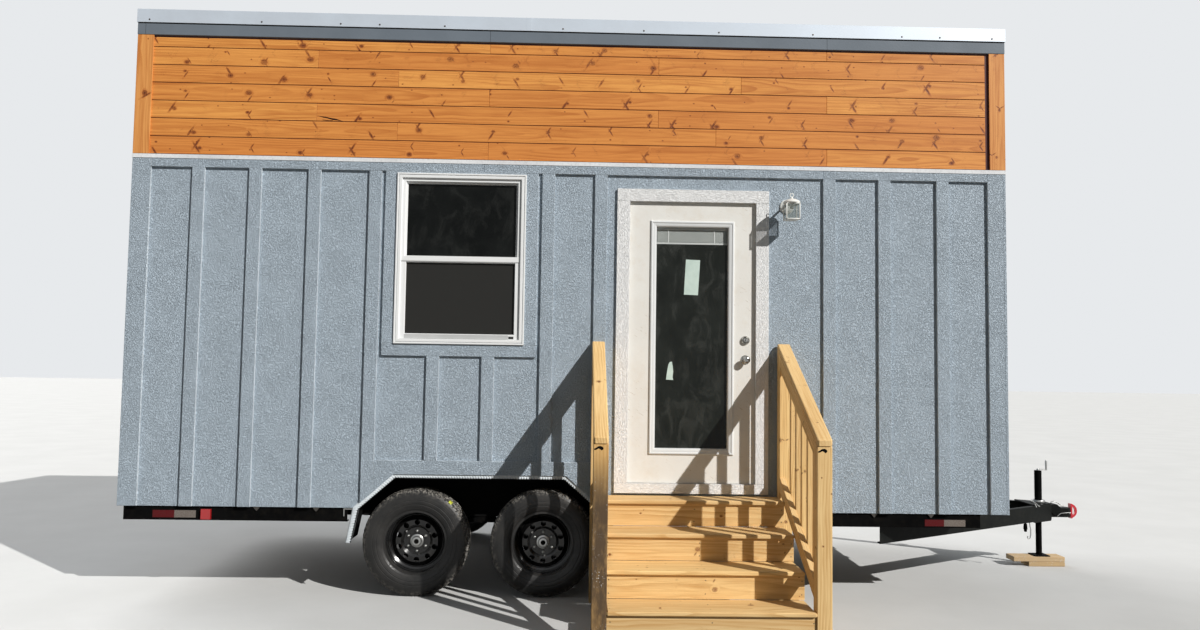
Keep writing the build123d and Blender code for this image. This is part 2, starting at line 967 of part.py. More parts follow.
with BuildPart() as stairRails:
    for x in railSides:
        alongX(sloped(postFrontFace - capOverhang, postBackFace, 0, capDrop), x, x + postSize)
        innerX = (x + postSize - railBoard, x + postSize) if x < stairLeft else (x, x + railBoard)
        between = (postFrontFace + postSize, postBackFace - postSize)
        alongX(sloped(*between, capDrop, boardDrop), *innerX)
        alongX(sloped(*between, bottomRailOffset, boardDrop), *innerX)
save(stairRails, "stair_rails")

with BuildPart() as stairBalusters:
    start = postFrontFace + postSize
    gap = (postBackFace - postSize - start) / (balusterCount + 1)
    for x in railSides:
        outerX = (x + postSize - 2 * railBoard, x + postSize - railBoard)
        if x >= stairRight:
            outerX = (x + railBoard, x + 2 * railBoard)
        for index in range(balusterCount):
            y = start + gap * (index + 1)
            y0 = y - railBoard / 2
            y1 = y + railBoard / 2
            drop = bottomRailOffset + boardDrop - 8
            alongX(
                [
                    (y0, capTop(y0) - drop),
                    (y1, capTop(y1) - drop),
                    (y1, capTop(y1) - capDrop),
                    (y0, capTop(y0) - capDrop),
                ],
                *outerX,
            )
save(stairBalusters, "stair_balusters")

# Lantern: backplate, arm, roof, floor and corner bars
lanternY = -lanternReach
lanternRoofTop = lanternTop - 40
lanternFloor = lanternTop - lanternHeight
halfLantern = lanternWidth / 2

with BuildPart() as lantern:
    turnedAboutY(
        lanternX, lanternRoofTop - 30, [(0, backplateRadius), (-10, backplateRadius), (-18, 34)]
    )
    rod((lanternX, -16, lanternRoofTop - 14), (lanternX, lanternY, lanternRoofTop - 14), 8)
    with BuildSketch(Plane.XY.offset(lanternRoofTop - 30)):
        with Locations((lanternX, lanternY)):
            Circle(halfLantern)
    with BuildSketch(Plane.XY.offset(lanternRoofTop)):
        with Locations((lanternX, lanternY)):
            Circle(halfLantern * 0.35)
    loft()
    rod((lanternX, lanternY, lanternRoofTop - 5), (lanternX, lanternY, lanternRoofTop + 14), 5)
    with Locations(Location((lanternX, lanternY, lanternTop - 16), (90, 0, 0))):
        Torus(12, 3.5)
    rod((lanternX, lanternY, lanternFloor), (lanternX, lanternY, lanternFloor + 12), halfLantern - 12)
    for angle in range(45, 405, 90):
        x = lanternX + (halfLantern - 17) * cos(radians(angle))
        y = lanternY + (halfLantern - 17) * sin(radians(angle))
        rod((x, y, lanternFloor + 5), (x, y, lanternRoofTop - 25), 4)
save(lantern, "lantern")

with BuildPart() as lanternGlass:
    rod(
        (lanternX, lanternY, lanternFloor + 12),
        (lanternX, lanternY, lanternRoofTop - 30),
        halfLantern - 23,
    )
save(lanternGlass, "lantern_glass")


# A channel beam along X with its web at the outer face
def channelAlongX(x0, x1, webOuter, inward, z0, z1, flange):
    web = (webOuter, webOuter + inward * steelThickness)
    reach = (webOuter, webOuter + inward * flange)
    block((x0, x1), (min(web), max(web)), (z0, z1))
    block((x0, x1), (min(reach), max(reach)), (z0, z0 + steelThickness))
    block((x0, x1), (min(reach), max(reach)), (z1 - steelThickness, z1))


railBottom = frameTop - railHeight

mainRailOuter = mainRailY + 6

# Outer side rails in front of and behind the wheels, and the two main rails inside them
with BuildPart() as frameRails:
    inside = railSetback + steelThickness
    legReach = archHalfBottom + archLegSpread + 4
    for outer, inward in ((0, 1), (bodyWidth, -1)):
        side = outer + inward * railSetback
        main = outer + inward * mainRailOuter
        for x0, x1 in ((inside, axleMiddle - legReach), (axleMiddle + legReach, frameFront - steelThickness)):
            channelAlongX(x0, x1, side, inward, railBottom, frameTop, railFlange)
        channelAlongX(inside, frameFront - steelThickness, main, inward, railBottom, frameTop, railFlange)
save(frameRails, "frame_rails")

with BuildPart() as crossMembers:
    inside = mainRailOuter + railFlange
    sideInner = railSetback + railFlange
    span = frameFront - railSetback - 2 * crossMemberWidth
    for index in range(crossMemberCount):
        x = railSetback + crossMemberWidth + span * (index + 0.5) / crossMemberCount
        z = (frameTop - crossMemberHeight, frameTop)
        block((x - 25, x + 25), (inside, fromBack(inside)), z)
        if abs(x - axleMiddle) > archHalfBottom + archLegSpread + crossMemberWidth:
            block((x - 25, x + 25), (sideInner, mainRailOuter), z)
            block((x - 25, x + 25), (fromBack(mainRailOuter), fromBack(sideInner)), z)
    for x in (railSetback, frameFront - steelThickness):
        block((x, x + steelThickness), (railSetback, fromBack(railSetback)), (railBottom, frameTop))
save(crossMembers, "cross_members")


# Steel wheel boxes: a bent plate over each pair of wheels, with an outer lip and an inner side
archOuter = archPoints()

with BuildPart() as wheelBoxes:
    for outer, inward in ((0, 1), (bodyWidth, -1)):
        for depth, near, far in (
            (fenderLip, -fenderProud, fenderThickness - fenderProud),
            (fenderThickness, -fenderProud, fenderDepth),
        ):
            y0 = outer + inward * near
            y1 = outer + inward * far
            alongY(archOuter + archPoints(depth)[::-1], min(y0, y1), max(y0, y1))
        y0 = outer + inward * fenderDepth
        y1 = outer + inward * (fenderDepth + fenderThickness)
        innerSide = [
            (axleMiddle - archHalfBottom, railBottom),
            (axleMiddle - archHalfBottom, sidingBottom),
            (axleMiddle - archHalfTop, archTop),
            (axleMiddle + archHalfTop, archTop),
            (axleMiddle + archHalfBottom, sidingBottom),
            (axleMiddle + archHalfBottom, railBottom),
        ]
        alongY(innerSide, min(y0, y1), max(y0, y1))
save(wheelBoxes, "wheel_boxes")

# Wheels and tyres, named for the side and the end as one faces the hitch
hubHeight = tyreRadius
wheelX = {"rear": axleMiddle - axleSpacing / 2, "front": axleMiddle + axleSpacing / 2}
wheelSides = {"right": (0, 1), "left": (bodyWidth, -1)}


# A ring turned about a wheel's axle line, from an outline of (distance inward, radius) points
def turnedRing(x, outer, inward, points):
    with BuildSketch(Plane(origin=(x, 0, hubHeight), x_dir=(1, 0, 0), z_dir=(0, 0, 1))) as outline:
        with BuildLine():
            Polyline(*[(radius, outer + inward * distance) for distance, radius in points], close=True)
        make_face()
    revolve(outline.sketch, axis=Axis((x, 0, hubHeight), (0, 1, 0)))


def tyreOutline():
    near = tyreFaceY
    far = tyreFaceY + tyreWidth
    bead = (tyreWidth - rimOpening) / 2
    return [
        (near + bead, rimRadius - 8),
        (near + bead, rimRadius + 5),
        (near + bead - 8, rimRadius + 16),
        (near, rimRadius + 62),
        (near + 3, tyreRadius - 52),
        (near + 16, tyreRadius - 14),
        (near + 34, tyreRadius - 3),
        (near + tyreWidth / 2, tyreRadius),
        (far - 34, tyreRadius - 3),
        (far - 16, tyreRadius - 14),
        (far - 3, tyreRadius - 52),
        (far, rimRadius + 62),
        (far - bead + 8, rimRadius + 16),
        (far - bead, rimRadius + 5),
        (far - bead, rimRadius - 8),
    ]


# Rim flanges, bead seats and the dropped centre
def rimOutline():
    near = tyreFaceY + (tyreWidth - rimOpening) / 2
    far = near + rimOpening
    seatRadius = rimRadius - 8 - seat
    wall = 6
    outside = [
        (near - 7, rimRadius + 2),
        (near - seat, rimRadius + 2),
        (near - seat, seatRadius),
        (near + 40, seatRadius),
        (near + 58, seatRadius - 26),
        (far - 58, seatRadius - 26),
        (far - 40, seatRadius),
        (far + seat, seatRadius),
        (far + seat, rimRadius + 2),
        (far + 7, rimRadius + 2),
    ]
    inside = [(distance, radius - wall) for distance, radius in outside[2:8]]
    inside[0] = (near - 7, seatRadius - wall)
    inside[-1] = (far + 7, seatRadius - wall)
    return outside + inside[::-1]


discFace = tyreFaceY + 62
discThickness = 8
hubLength = 150

for endName, x in wheelX.items():
    for sideName, (outer, inward) in wheelSides.items():
        with BuildPart() as tyre:
            turnedRing(x, outer, inward, tyreOutline())
        save(tyre, f"tyre_{sideName}_{endName}")

        with BuildPart() as wheel:
            turnedRing(x, outer, inward, rimOutline())
            rimInside = rimRadius - 8 - 26 - 5
            bore = axleSpindleRadius + seat
            turnedRing(
                x,
                outer,
                inward,
                [
                    (discFace + 26, bore),
                    (discFace + 26, 0),
                    (discFace - 34, 0),
                    (discFace - 34, 22),
                    (discFace - 26, 32),
                    (discFace - 14, 34),
                    (discFace - 14, 44),
                    (discFace, 46),
                    (discFace, 92),
                    (discFace - 16, 112),
                    (discFace - 16, 148),
                    (discFace + 12, rimInside),
                    (discFace + 12 + discThickness, rimInside),
                    (discFace - 16 + discThickness, 146),
                    (discFace - 16 + discThickness, 114),
                    (discFace + discThickness, 94),
                    (discFace + discThickness, hubRadius),
                    (discFace + 60, hubRadius),
                    (discFace + 60, drumRadius),
                    (discFace + 118, drumRadius),
                    (discFace + 118, drumRadius - 8),
                    (discFace + 68, drumRadius - 8),
                    (discFace + 68, hubRadius - 6),
                    (discFace + hubLength - 36, hubRadius - 6),
                    (discFace + hubLength - 36, bore),
                ],
            )
            holePlane = Plane(origin=(x, outer + inward * (discFace - 30), hubHeight), z_dir=(0, inward, 0))
            with BuildSketch(holePlane) as holes:
                with PolarLocations(discHoleCircle + 2, discHoleCount):
                    Circle(discHoleRadius)
            extrude(holes.sketch, amount=50, mode=Mode.SUBTRACT)
        save(wheel, f"wheel_{sideName}_{endName}")

# Axle tubes with their spindles and backing plates
with BuildPart() as axles:
    for x in wheelX.values():
        plate = discFace + 126
        rod((x, plate, hubHeight), (x, fromBack(plate), hubHeight), axleTubeRadius)
        tip = discFace + 28
        rod((x, tip, hubHeight), (x, fromBack(tip), hubHeight), axleSpindleRadius)
        for y0, y1 in ((plate - 2, plate + 3), (fromBack(plate + 3), fromBack(plate - 2))):
            rod((x, y0, hubHeight), (x, y1, hubHeight), drumRadius)
save(axles, "axles")

# Leaf springs over the axles, with the equaliser between each pair
springBase = hubHeight + axleTubeRadius + 8
springEyeZ = springBase + springRise + (leafCount - 0.5) * leafThickness
equaliserHalf = axleSpacing / 2 - springHalfLength
springY = mainRailOuter + 2


def springSpan(side):
    y0 = springY
    y1 = springY + springWidth
    return (y0, y1) if side > 0 else (fromBack(y1), fromBack(y0))


with BuildPart() as leafSprings:
    for side in (1, -1):
        y0, y1 = springSpan(side)
        for x in wheelX.values():
            for leaf in range(leafCount):
                half = springHalfLength * (1 - 0.24 * leaf)
                top = springBase + (leafCount - leaf) * leafThickness
                rise = springRise * (half / springHalfLength) ** 2
                low = top - leafThickness
                with BuildSketch(Plane.XZ.offset(-y0)):
                    with BuildLine():
                        ThreePointArc((x - half, top + rise), (x, top), (x + half, top + rise))
                        Line((x + half, top + rise), (x + half, low + rise))
                        ThreePointArc((x + half, low + rise), (x, low), (x - half, low + rise))
                        Line((x - half, low + rise), (x - half, top + rise))
                    make_face()
                extrude(amount=y0 - y1)
            for end in (-springHalfLength, springHalfLength):
                rod((x + end, y0, springEyeZ), (x + end, y1, springEyeZ), springEyeRadius)
                rod(
                    (x + end, y0 - 1, springEyeZ),
                    (x + end, y1 + 1, springEyeZ),
                    shacklePinRadius + seat,
                    Mode.SUBTRACT,
                )
            block((x - 50, x + 50), (y0, y1), (hubHeight + 20, springBase + leafThickness / 2))
            rod((x, y0 - 1, hubHeight), (x, y1 + 1, hubHeight), axleTubeRadius, Mode.SUBTRACT)
save(leafSprings, "leaf_springs")

# Hangers from the main rails down to the spring eyes, and the equalisers at the middle
with BuildPart() as springHangers:
    for side in (1, -1):
        y0, y1 = springSpan(side)
        for plateY in ((y0 - 7, y0 - 1), (y1 + 1, y1 + 7)):
            for x in (wheelX["rear"] - springHalfLength, wheelX["front"] + springHalfLength, axleMiddle):
                block((x - 26, x + 26), plateY, (springEyeZ - 22, railBottom))
            alongY(
                [
                    (axleMiddle - equaliserHalf - 18, springEyeZ - 16),
                    (axleMiddle + equaliserHalf + 18, springEyeZ - 16),
                    (axleMiddle + equaliserHalf + 18, springEyeZ + 10),
                    (axleMiddle + 30, springEyeZ + 24),
                    (axleMiddle - 30, springEyeZ + 24),
                    (axleMiddle - equaliserHalf - 18, springEyeZ + 10),
                ],
                *plateY,
            )
        for x in (
            wheelX["rear"] - springHalfLength,
            wheelX["front"] + springHalfLength,
            axleMiddle - equaliserHalf,
            axleMiddle + equaliserHalf,
            axleMiddle,
        ):
            rod((x, y0 - 12, springEyeZ), (x, y1 + 12, springEyeZ), shacklePinRadius)
save(springHangers, "spring_hangers")

# Side lamps on the outer side rails, and a tail lamp at each side of the rear member
with BuildPart() as sideLamps:
    for face, out in ((railSetback, -1), (bodyWidth - railSetback, 1)):
        y = (min(face, face + out * lampDepth), max(face, face + out * lampDepth))
        block((lampInset - lampWidth / 2, lampInset + lampWidth / 2), y, (lampBottom, lampBottom + lampHeight))
    for y in (tailLampInset, fromBack(tailLampInset)):
        block(
            (railSetback - lampDepth, railSetback),
            (y - tailLampWidth / 2, y + tailLampWidth / 2),
            (lampBottom, lampBottom + lampHeight),
        )
save(sideLamps, "side_lamps")

# A-frame tongue: two beams that meet at the coupler, and the plates that the jack passes through
tongueTop = railBottom
tongueBottom = railBottom - tongueHeight
tongueTip = bodyLength + tongueReach
halfAngle = radians(tongueHalfAngle)
tongueBack = bodyLength - tongueUnderBody
jackX = bodyLength + jackFromBody
plateBack = jackX - jackPlateReach


def tongueLine(x, offset):
    return (tongueTip - x) * tan(halfAngle) + couplerWidth / 2 + offset


with BuildPart() as tongue:
    for side in (1, -1):
        flange = tongueFlange / cos(halfAngle)
        for inner, outer, z in (
            (0, steelThickness, (tongueBottom, tongueTop)),
            (-flange, 0, (tongueBottom, tongueBottom + steelThickness)),
            (-flange, 0, (tongueTop - steelThickness, tongueTop)),
        ):
            with BuildSketch(Plane.XY.offset(z[0])):
                with BuildLine():
                    Polyline(
                        (tongueBack, bodyCentreY + side * tongueLine(tongueBack, inner)),
                        (tongueBack, bodyCentreY + side * tongueLine(tongueBack, outer)),
                        (tongueTip, bodyCentreY + side * tongueLine(tongueTip, outer)),
                        (tongueTip, bodyCentreY + side * max(tongueLine(tongueTip, inner), 4)),
                        close=True,
                    )
                make_face()
            extrude(amount=z[1] - z[0])
    for z in ((tongueTop, tongueTop + jackPlateThickness), (tongueBottom - jackPlateThickness, tongueBottom)):
        with BuildSketch(Plane.XY.offset(z[0])):
            with BuildLine():
                Polyline(
                    (plateBack, bodyCentreY - tongueLine(plateBack, 0)),
                    (tongueTip, bodyCentreY - tongueLine(tongueTip, 0)),
                    (tongueTip, bodyCentreY + tongueLine(tongueTip, 0)),
                    (plateBack, bodyCentreY + tongueLine(plateBack, 0)),
                    close=True,
                )
            make_face()
        extrude(amount=z[1] - z[0])
    rod((jackX, bodyCentreY, 0), (jackX, bodyCentreY, jackTop), jackTubeRadius + seat, Mode.SUBTRACT)
save(tongue, "tongue")

# Coupler: a channel that slopes down to a round nose over the ball socket
couplerBack = tongueTip
couplerX = couplerFront - couplerWidth / 2
couplerNeck = couplerX - couplerWidth / 2
couplerBottom = tongueBottom + 20
couplerTop = tongueTop
noseTop = couplerBottom + couplerNoseHeight
socketTop = couplerBottom + 52

with BuildPart() as coupler:
    alongY(
        [
            (couplerBack, couplerBottom),
            (couplerX, couplerBottom),
            (couplerX, noseTop),
            (couplerNeck, noseTop),
            (couplerNeck - couplerSlope, couplerTop),
            (couplerBack, couplerTop),
        ],
        bodyCentreY - couplerWidth / 2,
        bodyCentreY + couplerWidth / 2,
    )
    block(
        (couplerBack - 1, couplerNeck),
        (bodyCentreY - couplerWidth / 2 + 8, bodyCentreY + couplerWidth / 2 - 8),
        (couplerBottom - 1, noseTop - 8),
        Mode.SUBTRACT,
    )
    rod((couplerX, bodyCentreY, couplerBottom), (couplerX, bodyCentreY, noseTop), couplerWidth / 2)
    rod((couplerX, bodyCentreY, couplerBottom - 1), (couplerX, bodyCentreY, socketTop), ballSocketRadius, Mode.SUBTRACT)
save(coupler, "coupler")

# Locking hoop: an upright half ring on a plate that stands against the coupler's nose
lockZ = couplerBottom + lockAboveCouplerBottom
lockBack = couplerFront + seat

with BuildPart() as couplerLock:
    hoopPlane = Plane(
        origin=(lockBack, bodyCentreY - lockHoopWidth / 2, lockZ), x_dir=(1, 0, 0), z_dir=(0, -1, 0)
    )
    with BuildSketch(hoopPlane):
        Circle(lockReach - seat)
        Circle(lockHoopHole, mode=Mode.SUBTRACT)
        with Locations((-lockReach, 0)):
            Rectangle(2 * lockReach, 2 * lockReach, mode=Mode.SUBTRACT)
    extrude(amount=-lockHoopWidth)
    block(
        (lockBack, lockBack + lockPlateThickness),
        (bodyCentreY - lockPlateWidth / 2, bodyCentreY + lockPlateWidth / 2),
        (lockZ - lockReach, lockZ + lockReach),
    )
save(couplerLock, "coupler_lock")

jackInner = jackLegRadius + seat
capThickness = 14

with BuildPart() as jackTube:
    rod((jackX, bodyCentreY, jackTubeBottom), (jackX, bodyCentreY, jackTop), jackTubeRadius)
    rod(
        (jackX, bodyCentreY, jackTubeBottom - 1),
        (jackX, bodyCentreY, jackTop - capThickness),
        jackInner,
        Mode.SUBTRACT,
    )
save(jackTube, "jack_tube")

blocksTop = lowBlockHeight + topBlockHeight
legBottom = blocksTop + seat
legTop = jackTop - capThickness - jackTravel - 6

with BuildPart() as jackLeg:
    rod((jackX, bodyCentreY, legBottom), (jackX, bodyCentreY, legTop), jackLegRadius)
    block(
        (jackX - footSize / 2, jackX + footSize / 2),
        (bodyCentreY - footSize / 2, bodyCentreY + footSize / 2),
        (legBottom, legBottom + footThickness),
    )
save(jackLeg, "jack_leg")

with BuildPart() as jackCrank:
    armZ = jackTop + 8
    rod((jackX, bodyCentreY, jackTop + seat), (jackX, bodyCentreY, armZ + 8), 11)
    block((jackX, jackX + crankLength), (bodyCentreY - 10, bodyCentreY + 10), (armZ - 3, armZ + 5))
    gripX = jackX + crankLength
    rod((gripX, bodyCentreY, armZ - 3), (gripX, bodyCentreY, armZ + gripHeight), gripRadius)
save(jackCrank, "jack_crank")

with BuildPart() as jackBlocks:
    y = (bodyCentreY - blockWidth / 2, bodyCentreY + blockWidth / 2)
    for shift, length, z in (
        (topBlockShift, topBlockLength, (lowBlockHeight, blocksTop)),
        (lowBlockShift, lowBlockLength, (0, lowBlockHeight)),
    ):
        middle = jackX + shift
        block((middle - length / 2, middle + length / 2), y, z)
save(jackBlocks, "jack_blocks")
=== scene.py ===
import math
import bmesh
import bpy
import numpy as np
from mathutils import Matrix, Vector


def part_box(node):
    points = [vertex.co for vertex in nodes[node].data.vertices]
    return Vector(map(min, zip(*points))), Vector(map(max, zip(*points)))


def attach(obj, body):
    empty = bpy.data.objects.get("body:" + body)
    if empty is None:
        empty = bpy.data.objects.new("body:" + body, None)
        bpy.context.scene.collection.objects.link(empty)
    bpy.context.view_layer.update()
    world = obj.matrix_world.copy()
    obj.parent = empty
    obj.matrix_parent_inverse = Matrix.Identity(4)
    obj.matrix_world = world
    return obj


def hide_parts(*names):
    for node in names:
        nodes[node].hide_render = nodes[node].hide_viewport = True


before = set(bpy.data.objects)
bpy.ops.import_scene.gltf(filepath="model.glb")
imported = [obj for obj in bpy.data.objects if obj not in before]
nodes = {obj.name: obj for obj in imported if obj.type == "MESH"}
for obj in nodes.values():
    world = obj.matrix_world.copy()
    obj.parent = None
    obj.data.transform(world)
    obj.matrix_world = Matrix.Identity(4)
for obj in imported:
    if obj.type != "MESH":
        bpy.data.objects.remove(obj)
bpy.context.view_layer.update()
dice = np.random.default_rng(11)
print("frame loaded,", len(nodes), "nodes")

# Places below are in millimetres from the foot of the siding's front left corner:
# x along the house to the hitch, y from the door wall to the back wall, z up from the ground.
bandLow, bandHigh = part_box("front_cladding")
corner = np.array([bandLow[0], bandHigh[1], 0.0])
house = {
    "length": 6188, "width": 2536, "wall": 100,
    "slope": 0.125, "edge": 27, "roofTop": 4112, "fasciaDeep": 182,
}
toRight, toLeft, toBack, toFront = (1, 0, 0), (-1, 0, 0), (0, 1, 0), (0, -1, 0)
up, down = (0, 0, 1), (0, 0, -1)


def place(points):
    return np.asarray(points, float) / 1000 + corner


# Helpers for the finishes. They add nodes to the node tree that is being made.
tree = None


# A value in the node tree: sums, differences, products, quotients and powers make Math nodes
class Wire:
    def __init__(self, socket):
        self.socket = socket


def start(name):
    global tree
    material = bpy.data.materials.new(name)
    material.use_nodes = True
    tree = material.node_tree
    return material


def feed(socket, value):
    if isinstance(value, Wire):
        tree.links.new(value.socket, socket)
    else:
        socket.default_value = value


def add(kind, values, output=0, **settings):
    made = tree.nodes.new("ShaderNode" + kind)
    for key, value in settings.items():
        setattr(made, key, value)
    for key, value in values.items():
        feed(made.inputs[key], value)
    return Wire(made.outputs[output])


def calc(operation, *values):
    return add("Math", dict(enumerate(values)), operation=operation)


operators = {"add": "ADD", "sub": "SUBTRACT", "mul": "MULTIPLY", "truediv": "DIVIDE", "pow": "POWER"}
for sign, operation in operators.items():
    setattr(Wire, f"__{sign}__", lambda a, b, operation=operation: calc(operation, a, b))
    setattr(Wire, f"__r{sign}__", lambda a, b, operation=operation: calc(operation, b, a))


# Value times factor, plus shift
def scaled(value, factor, shift):
    return calc("MULTIPLY_ADD", value, factor, shift)


# 0 below low, 1 above high, eased between
def fade(value, low, high):
    values = {"Value": value, "From Min": low, "From Max": high}
    return add("MapRange", values, interpolation_type="SMOOTHSTEP")


def tint(amount, *colours):
    first, second = [(*c, 1.0) if isinstance(c, tuple) else c for c in colours]
    return add("Mix", {0: amount, 6: first, 7: second}, 2, data_type="RGBA")


def stretch(vector, factors):
    return add("VectorMath", {0: vector, 1: factors}, operation="MULTIPLY")


def noise(vector, scale, detail=2.0, rough=0.5, warp=0.0):
    values = {"Vector": vector, "Scale": scale, "Detail": detail, "Roughness": rough, "Distortion": warp}
    return add("TexNoise", values, "Fac")


def bump(height, distance):
    return add("Bump", {"Height": height, "Distance": distance, "Strength": 1.0})


def objectPlace():
    return add("TexCoord", {}, "Object")


def layer(name, output="Fac"):
    return add("Attribute", {}, output, attribute_name=name)


def split(vector):
    made = add("SeparateXYZ", {0: vector})
    return [Wire(socket) for socket in made.socket.node.outputs]


def join(x, y, z):
    return add("CombineXYZ", {0: x, 1: y, 2: z})


# Three chance numbers from 0 to 1 for each value
def chance(value):
    return split(add("TexWhiteNoise", {"W": value}, "Color", noise_dimensions="1D"))


# Ridges of a pressed grain: 1 on the open face, down to 0 in wavy grooves
def pressedGrain(vector, warp, groove):
    middle = calc("ABSOLUTE", noise(vector, 1.0, 1.5, 0.5, warp) - 0.5)
    return fade(middle, 0.0, groove)


def finish(material, colour, rough, normal=None, metal=0.0, coat=0.0, shine=None):
    inputs = tree.nodes["Principled BSDF"].inputs
    feed(inputs["Base Color"], colour)
    feed(inputs["Roughness"], rough)
    inputs["Metallic"].default_value = metal
    inputs["Coat Weight"].default_value = coat
    if normal is not None:
        feed(inputs["Normal"], normal)
    if shine is not None:
        inputs["Specular IOR Level"].default_value = shine
    print("finish", material.name)
    return material


# A place on a board's own grain: along it, across its face, and into it. The board's seed shifts
# the place along, so that no two boards look alike.
def boardPlace():
    along, across, into = split(layer("grain", "Vector"))
    return join(scaled(layer("seed"), 37.0, along), across, into)


# The siding's paint. grain and along are the grain's scale across and along a board. groove is a darker grey
# painted into the grain's grooves as painted shade.
sidingLook = {
    # edge is a paler paint for the trim's eased edges, partly a painted highlight of sunlit edges
    "paint": (0.412, 0.492, 0.568), "groove": (0.290, 0.350, 0.410), "edge": (0.64, 0.71, 0.77),
    "cloud": (0.44, 0.50, 0.56), "grain": 120.0, "along": 58.0, "warp": 0.15, "depth": 0.0058,
    "inside": (0.78, 0.77, 0.74), "insideGroove": (0.35, 0.34, 0.32), "panel": 0.2,
}


# Painted board with a pressed cedar grain: wavy ridges drawn out along the board. Boards of the
# trim carry their own place as "grain" and are paler where "edge" is high, on their eased edges:
# partly paler edge paint, partly a painted highlight of sunlit edges. Inside the room the
# walls show pale panels with a groove every 400 mm.
def sidingFinish(name, look, boards):
    material = start(name)
    where = objectPlace()
    if boards:
        run = boardPlace()
        factors = (look["along"], look["grain"], look["grain"])
    else:
        run = where
        factors = (look["grain"], look["grain"], look["along"])
    ridge = pressedGrain(stretch(run, factors), look["warp"], 0.11)
    patch = noise(where, 5.5)
    height = ridge * scaled(fade(patch, 0.35, 0.65), 0.3, 0.7)
    # Darker in the grain's grooves: painted shade
    colour = tint((1.0 - ridge) * 0.28, look["paint"], look["groove"])
    colour = tint(fade(noise(where, 1.3, 3.0), 0.35, 0.75) * 0.07, colour, look["cloud"])
    if boards:
        # Paler on eased edges: partly edge paint, partly a painted highlight of sunlit edges
        colour = tint(fade(layer("edge"), 0.25, 0.6), colour, look["edge"])
    else:
        x, y, z = split(where)
        wall, soft = house["wall"] / 1000, 0.004
        lowX, highX = corner[0] + wall, corner[0] + house["length"] / 1000 - wall
        lowY, highY = corner[1] + wall, corner[1] + house["width"] / 1000 - wall
        room = fade(x, lowX, lowX + soft) * fade(x, highX, highX - soft)
        room = room * fade(y, lowY, lowY + soft) * fade(y, highY, highY - soft)
        groove = fade(calc("PINGPONG", x + y, look["panel"]), 0.0, 0.003)
        colour = tint(room, colour, tint(groove, look["insideGroove"], look["inside"]))
        height = height * (1.0 - room)
    return finish(material, colour, scaled(patch, 0.12, 0.44), bump(height, look["depth"]))


# How far a place lies from a knot's middle, 1 at its rim: an ellipse turned by lean
def knotRatio(along, across, long, short, lean, sign):
    leaning = sign * math.sin(lean)
    u = along * math.cos(lean) + across * leaning
    v = across * math.cos(lean) - along * leaning
    return calc("SQRT", (u / long) ** 2.0 + (v / short) ** 2.0)


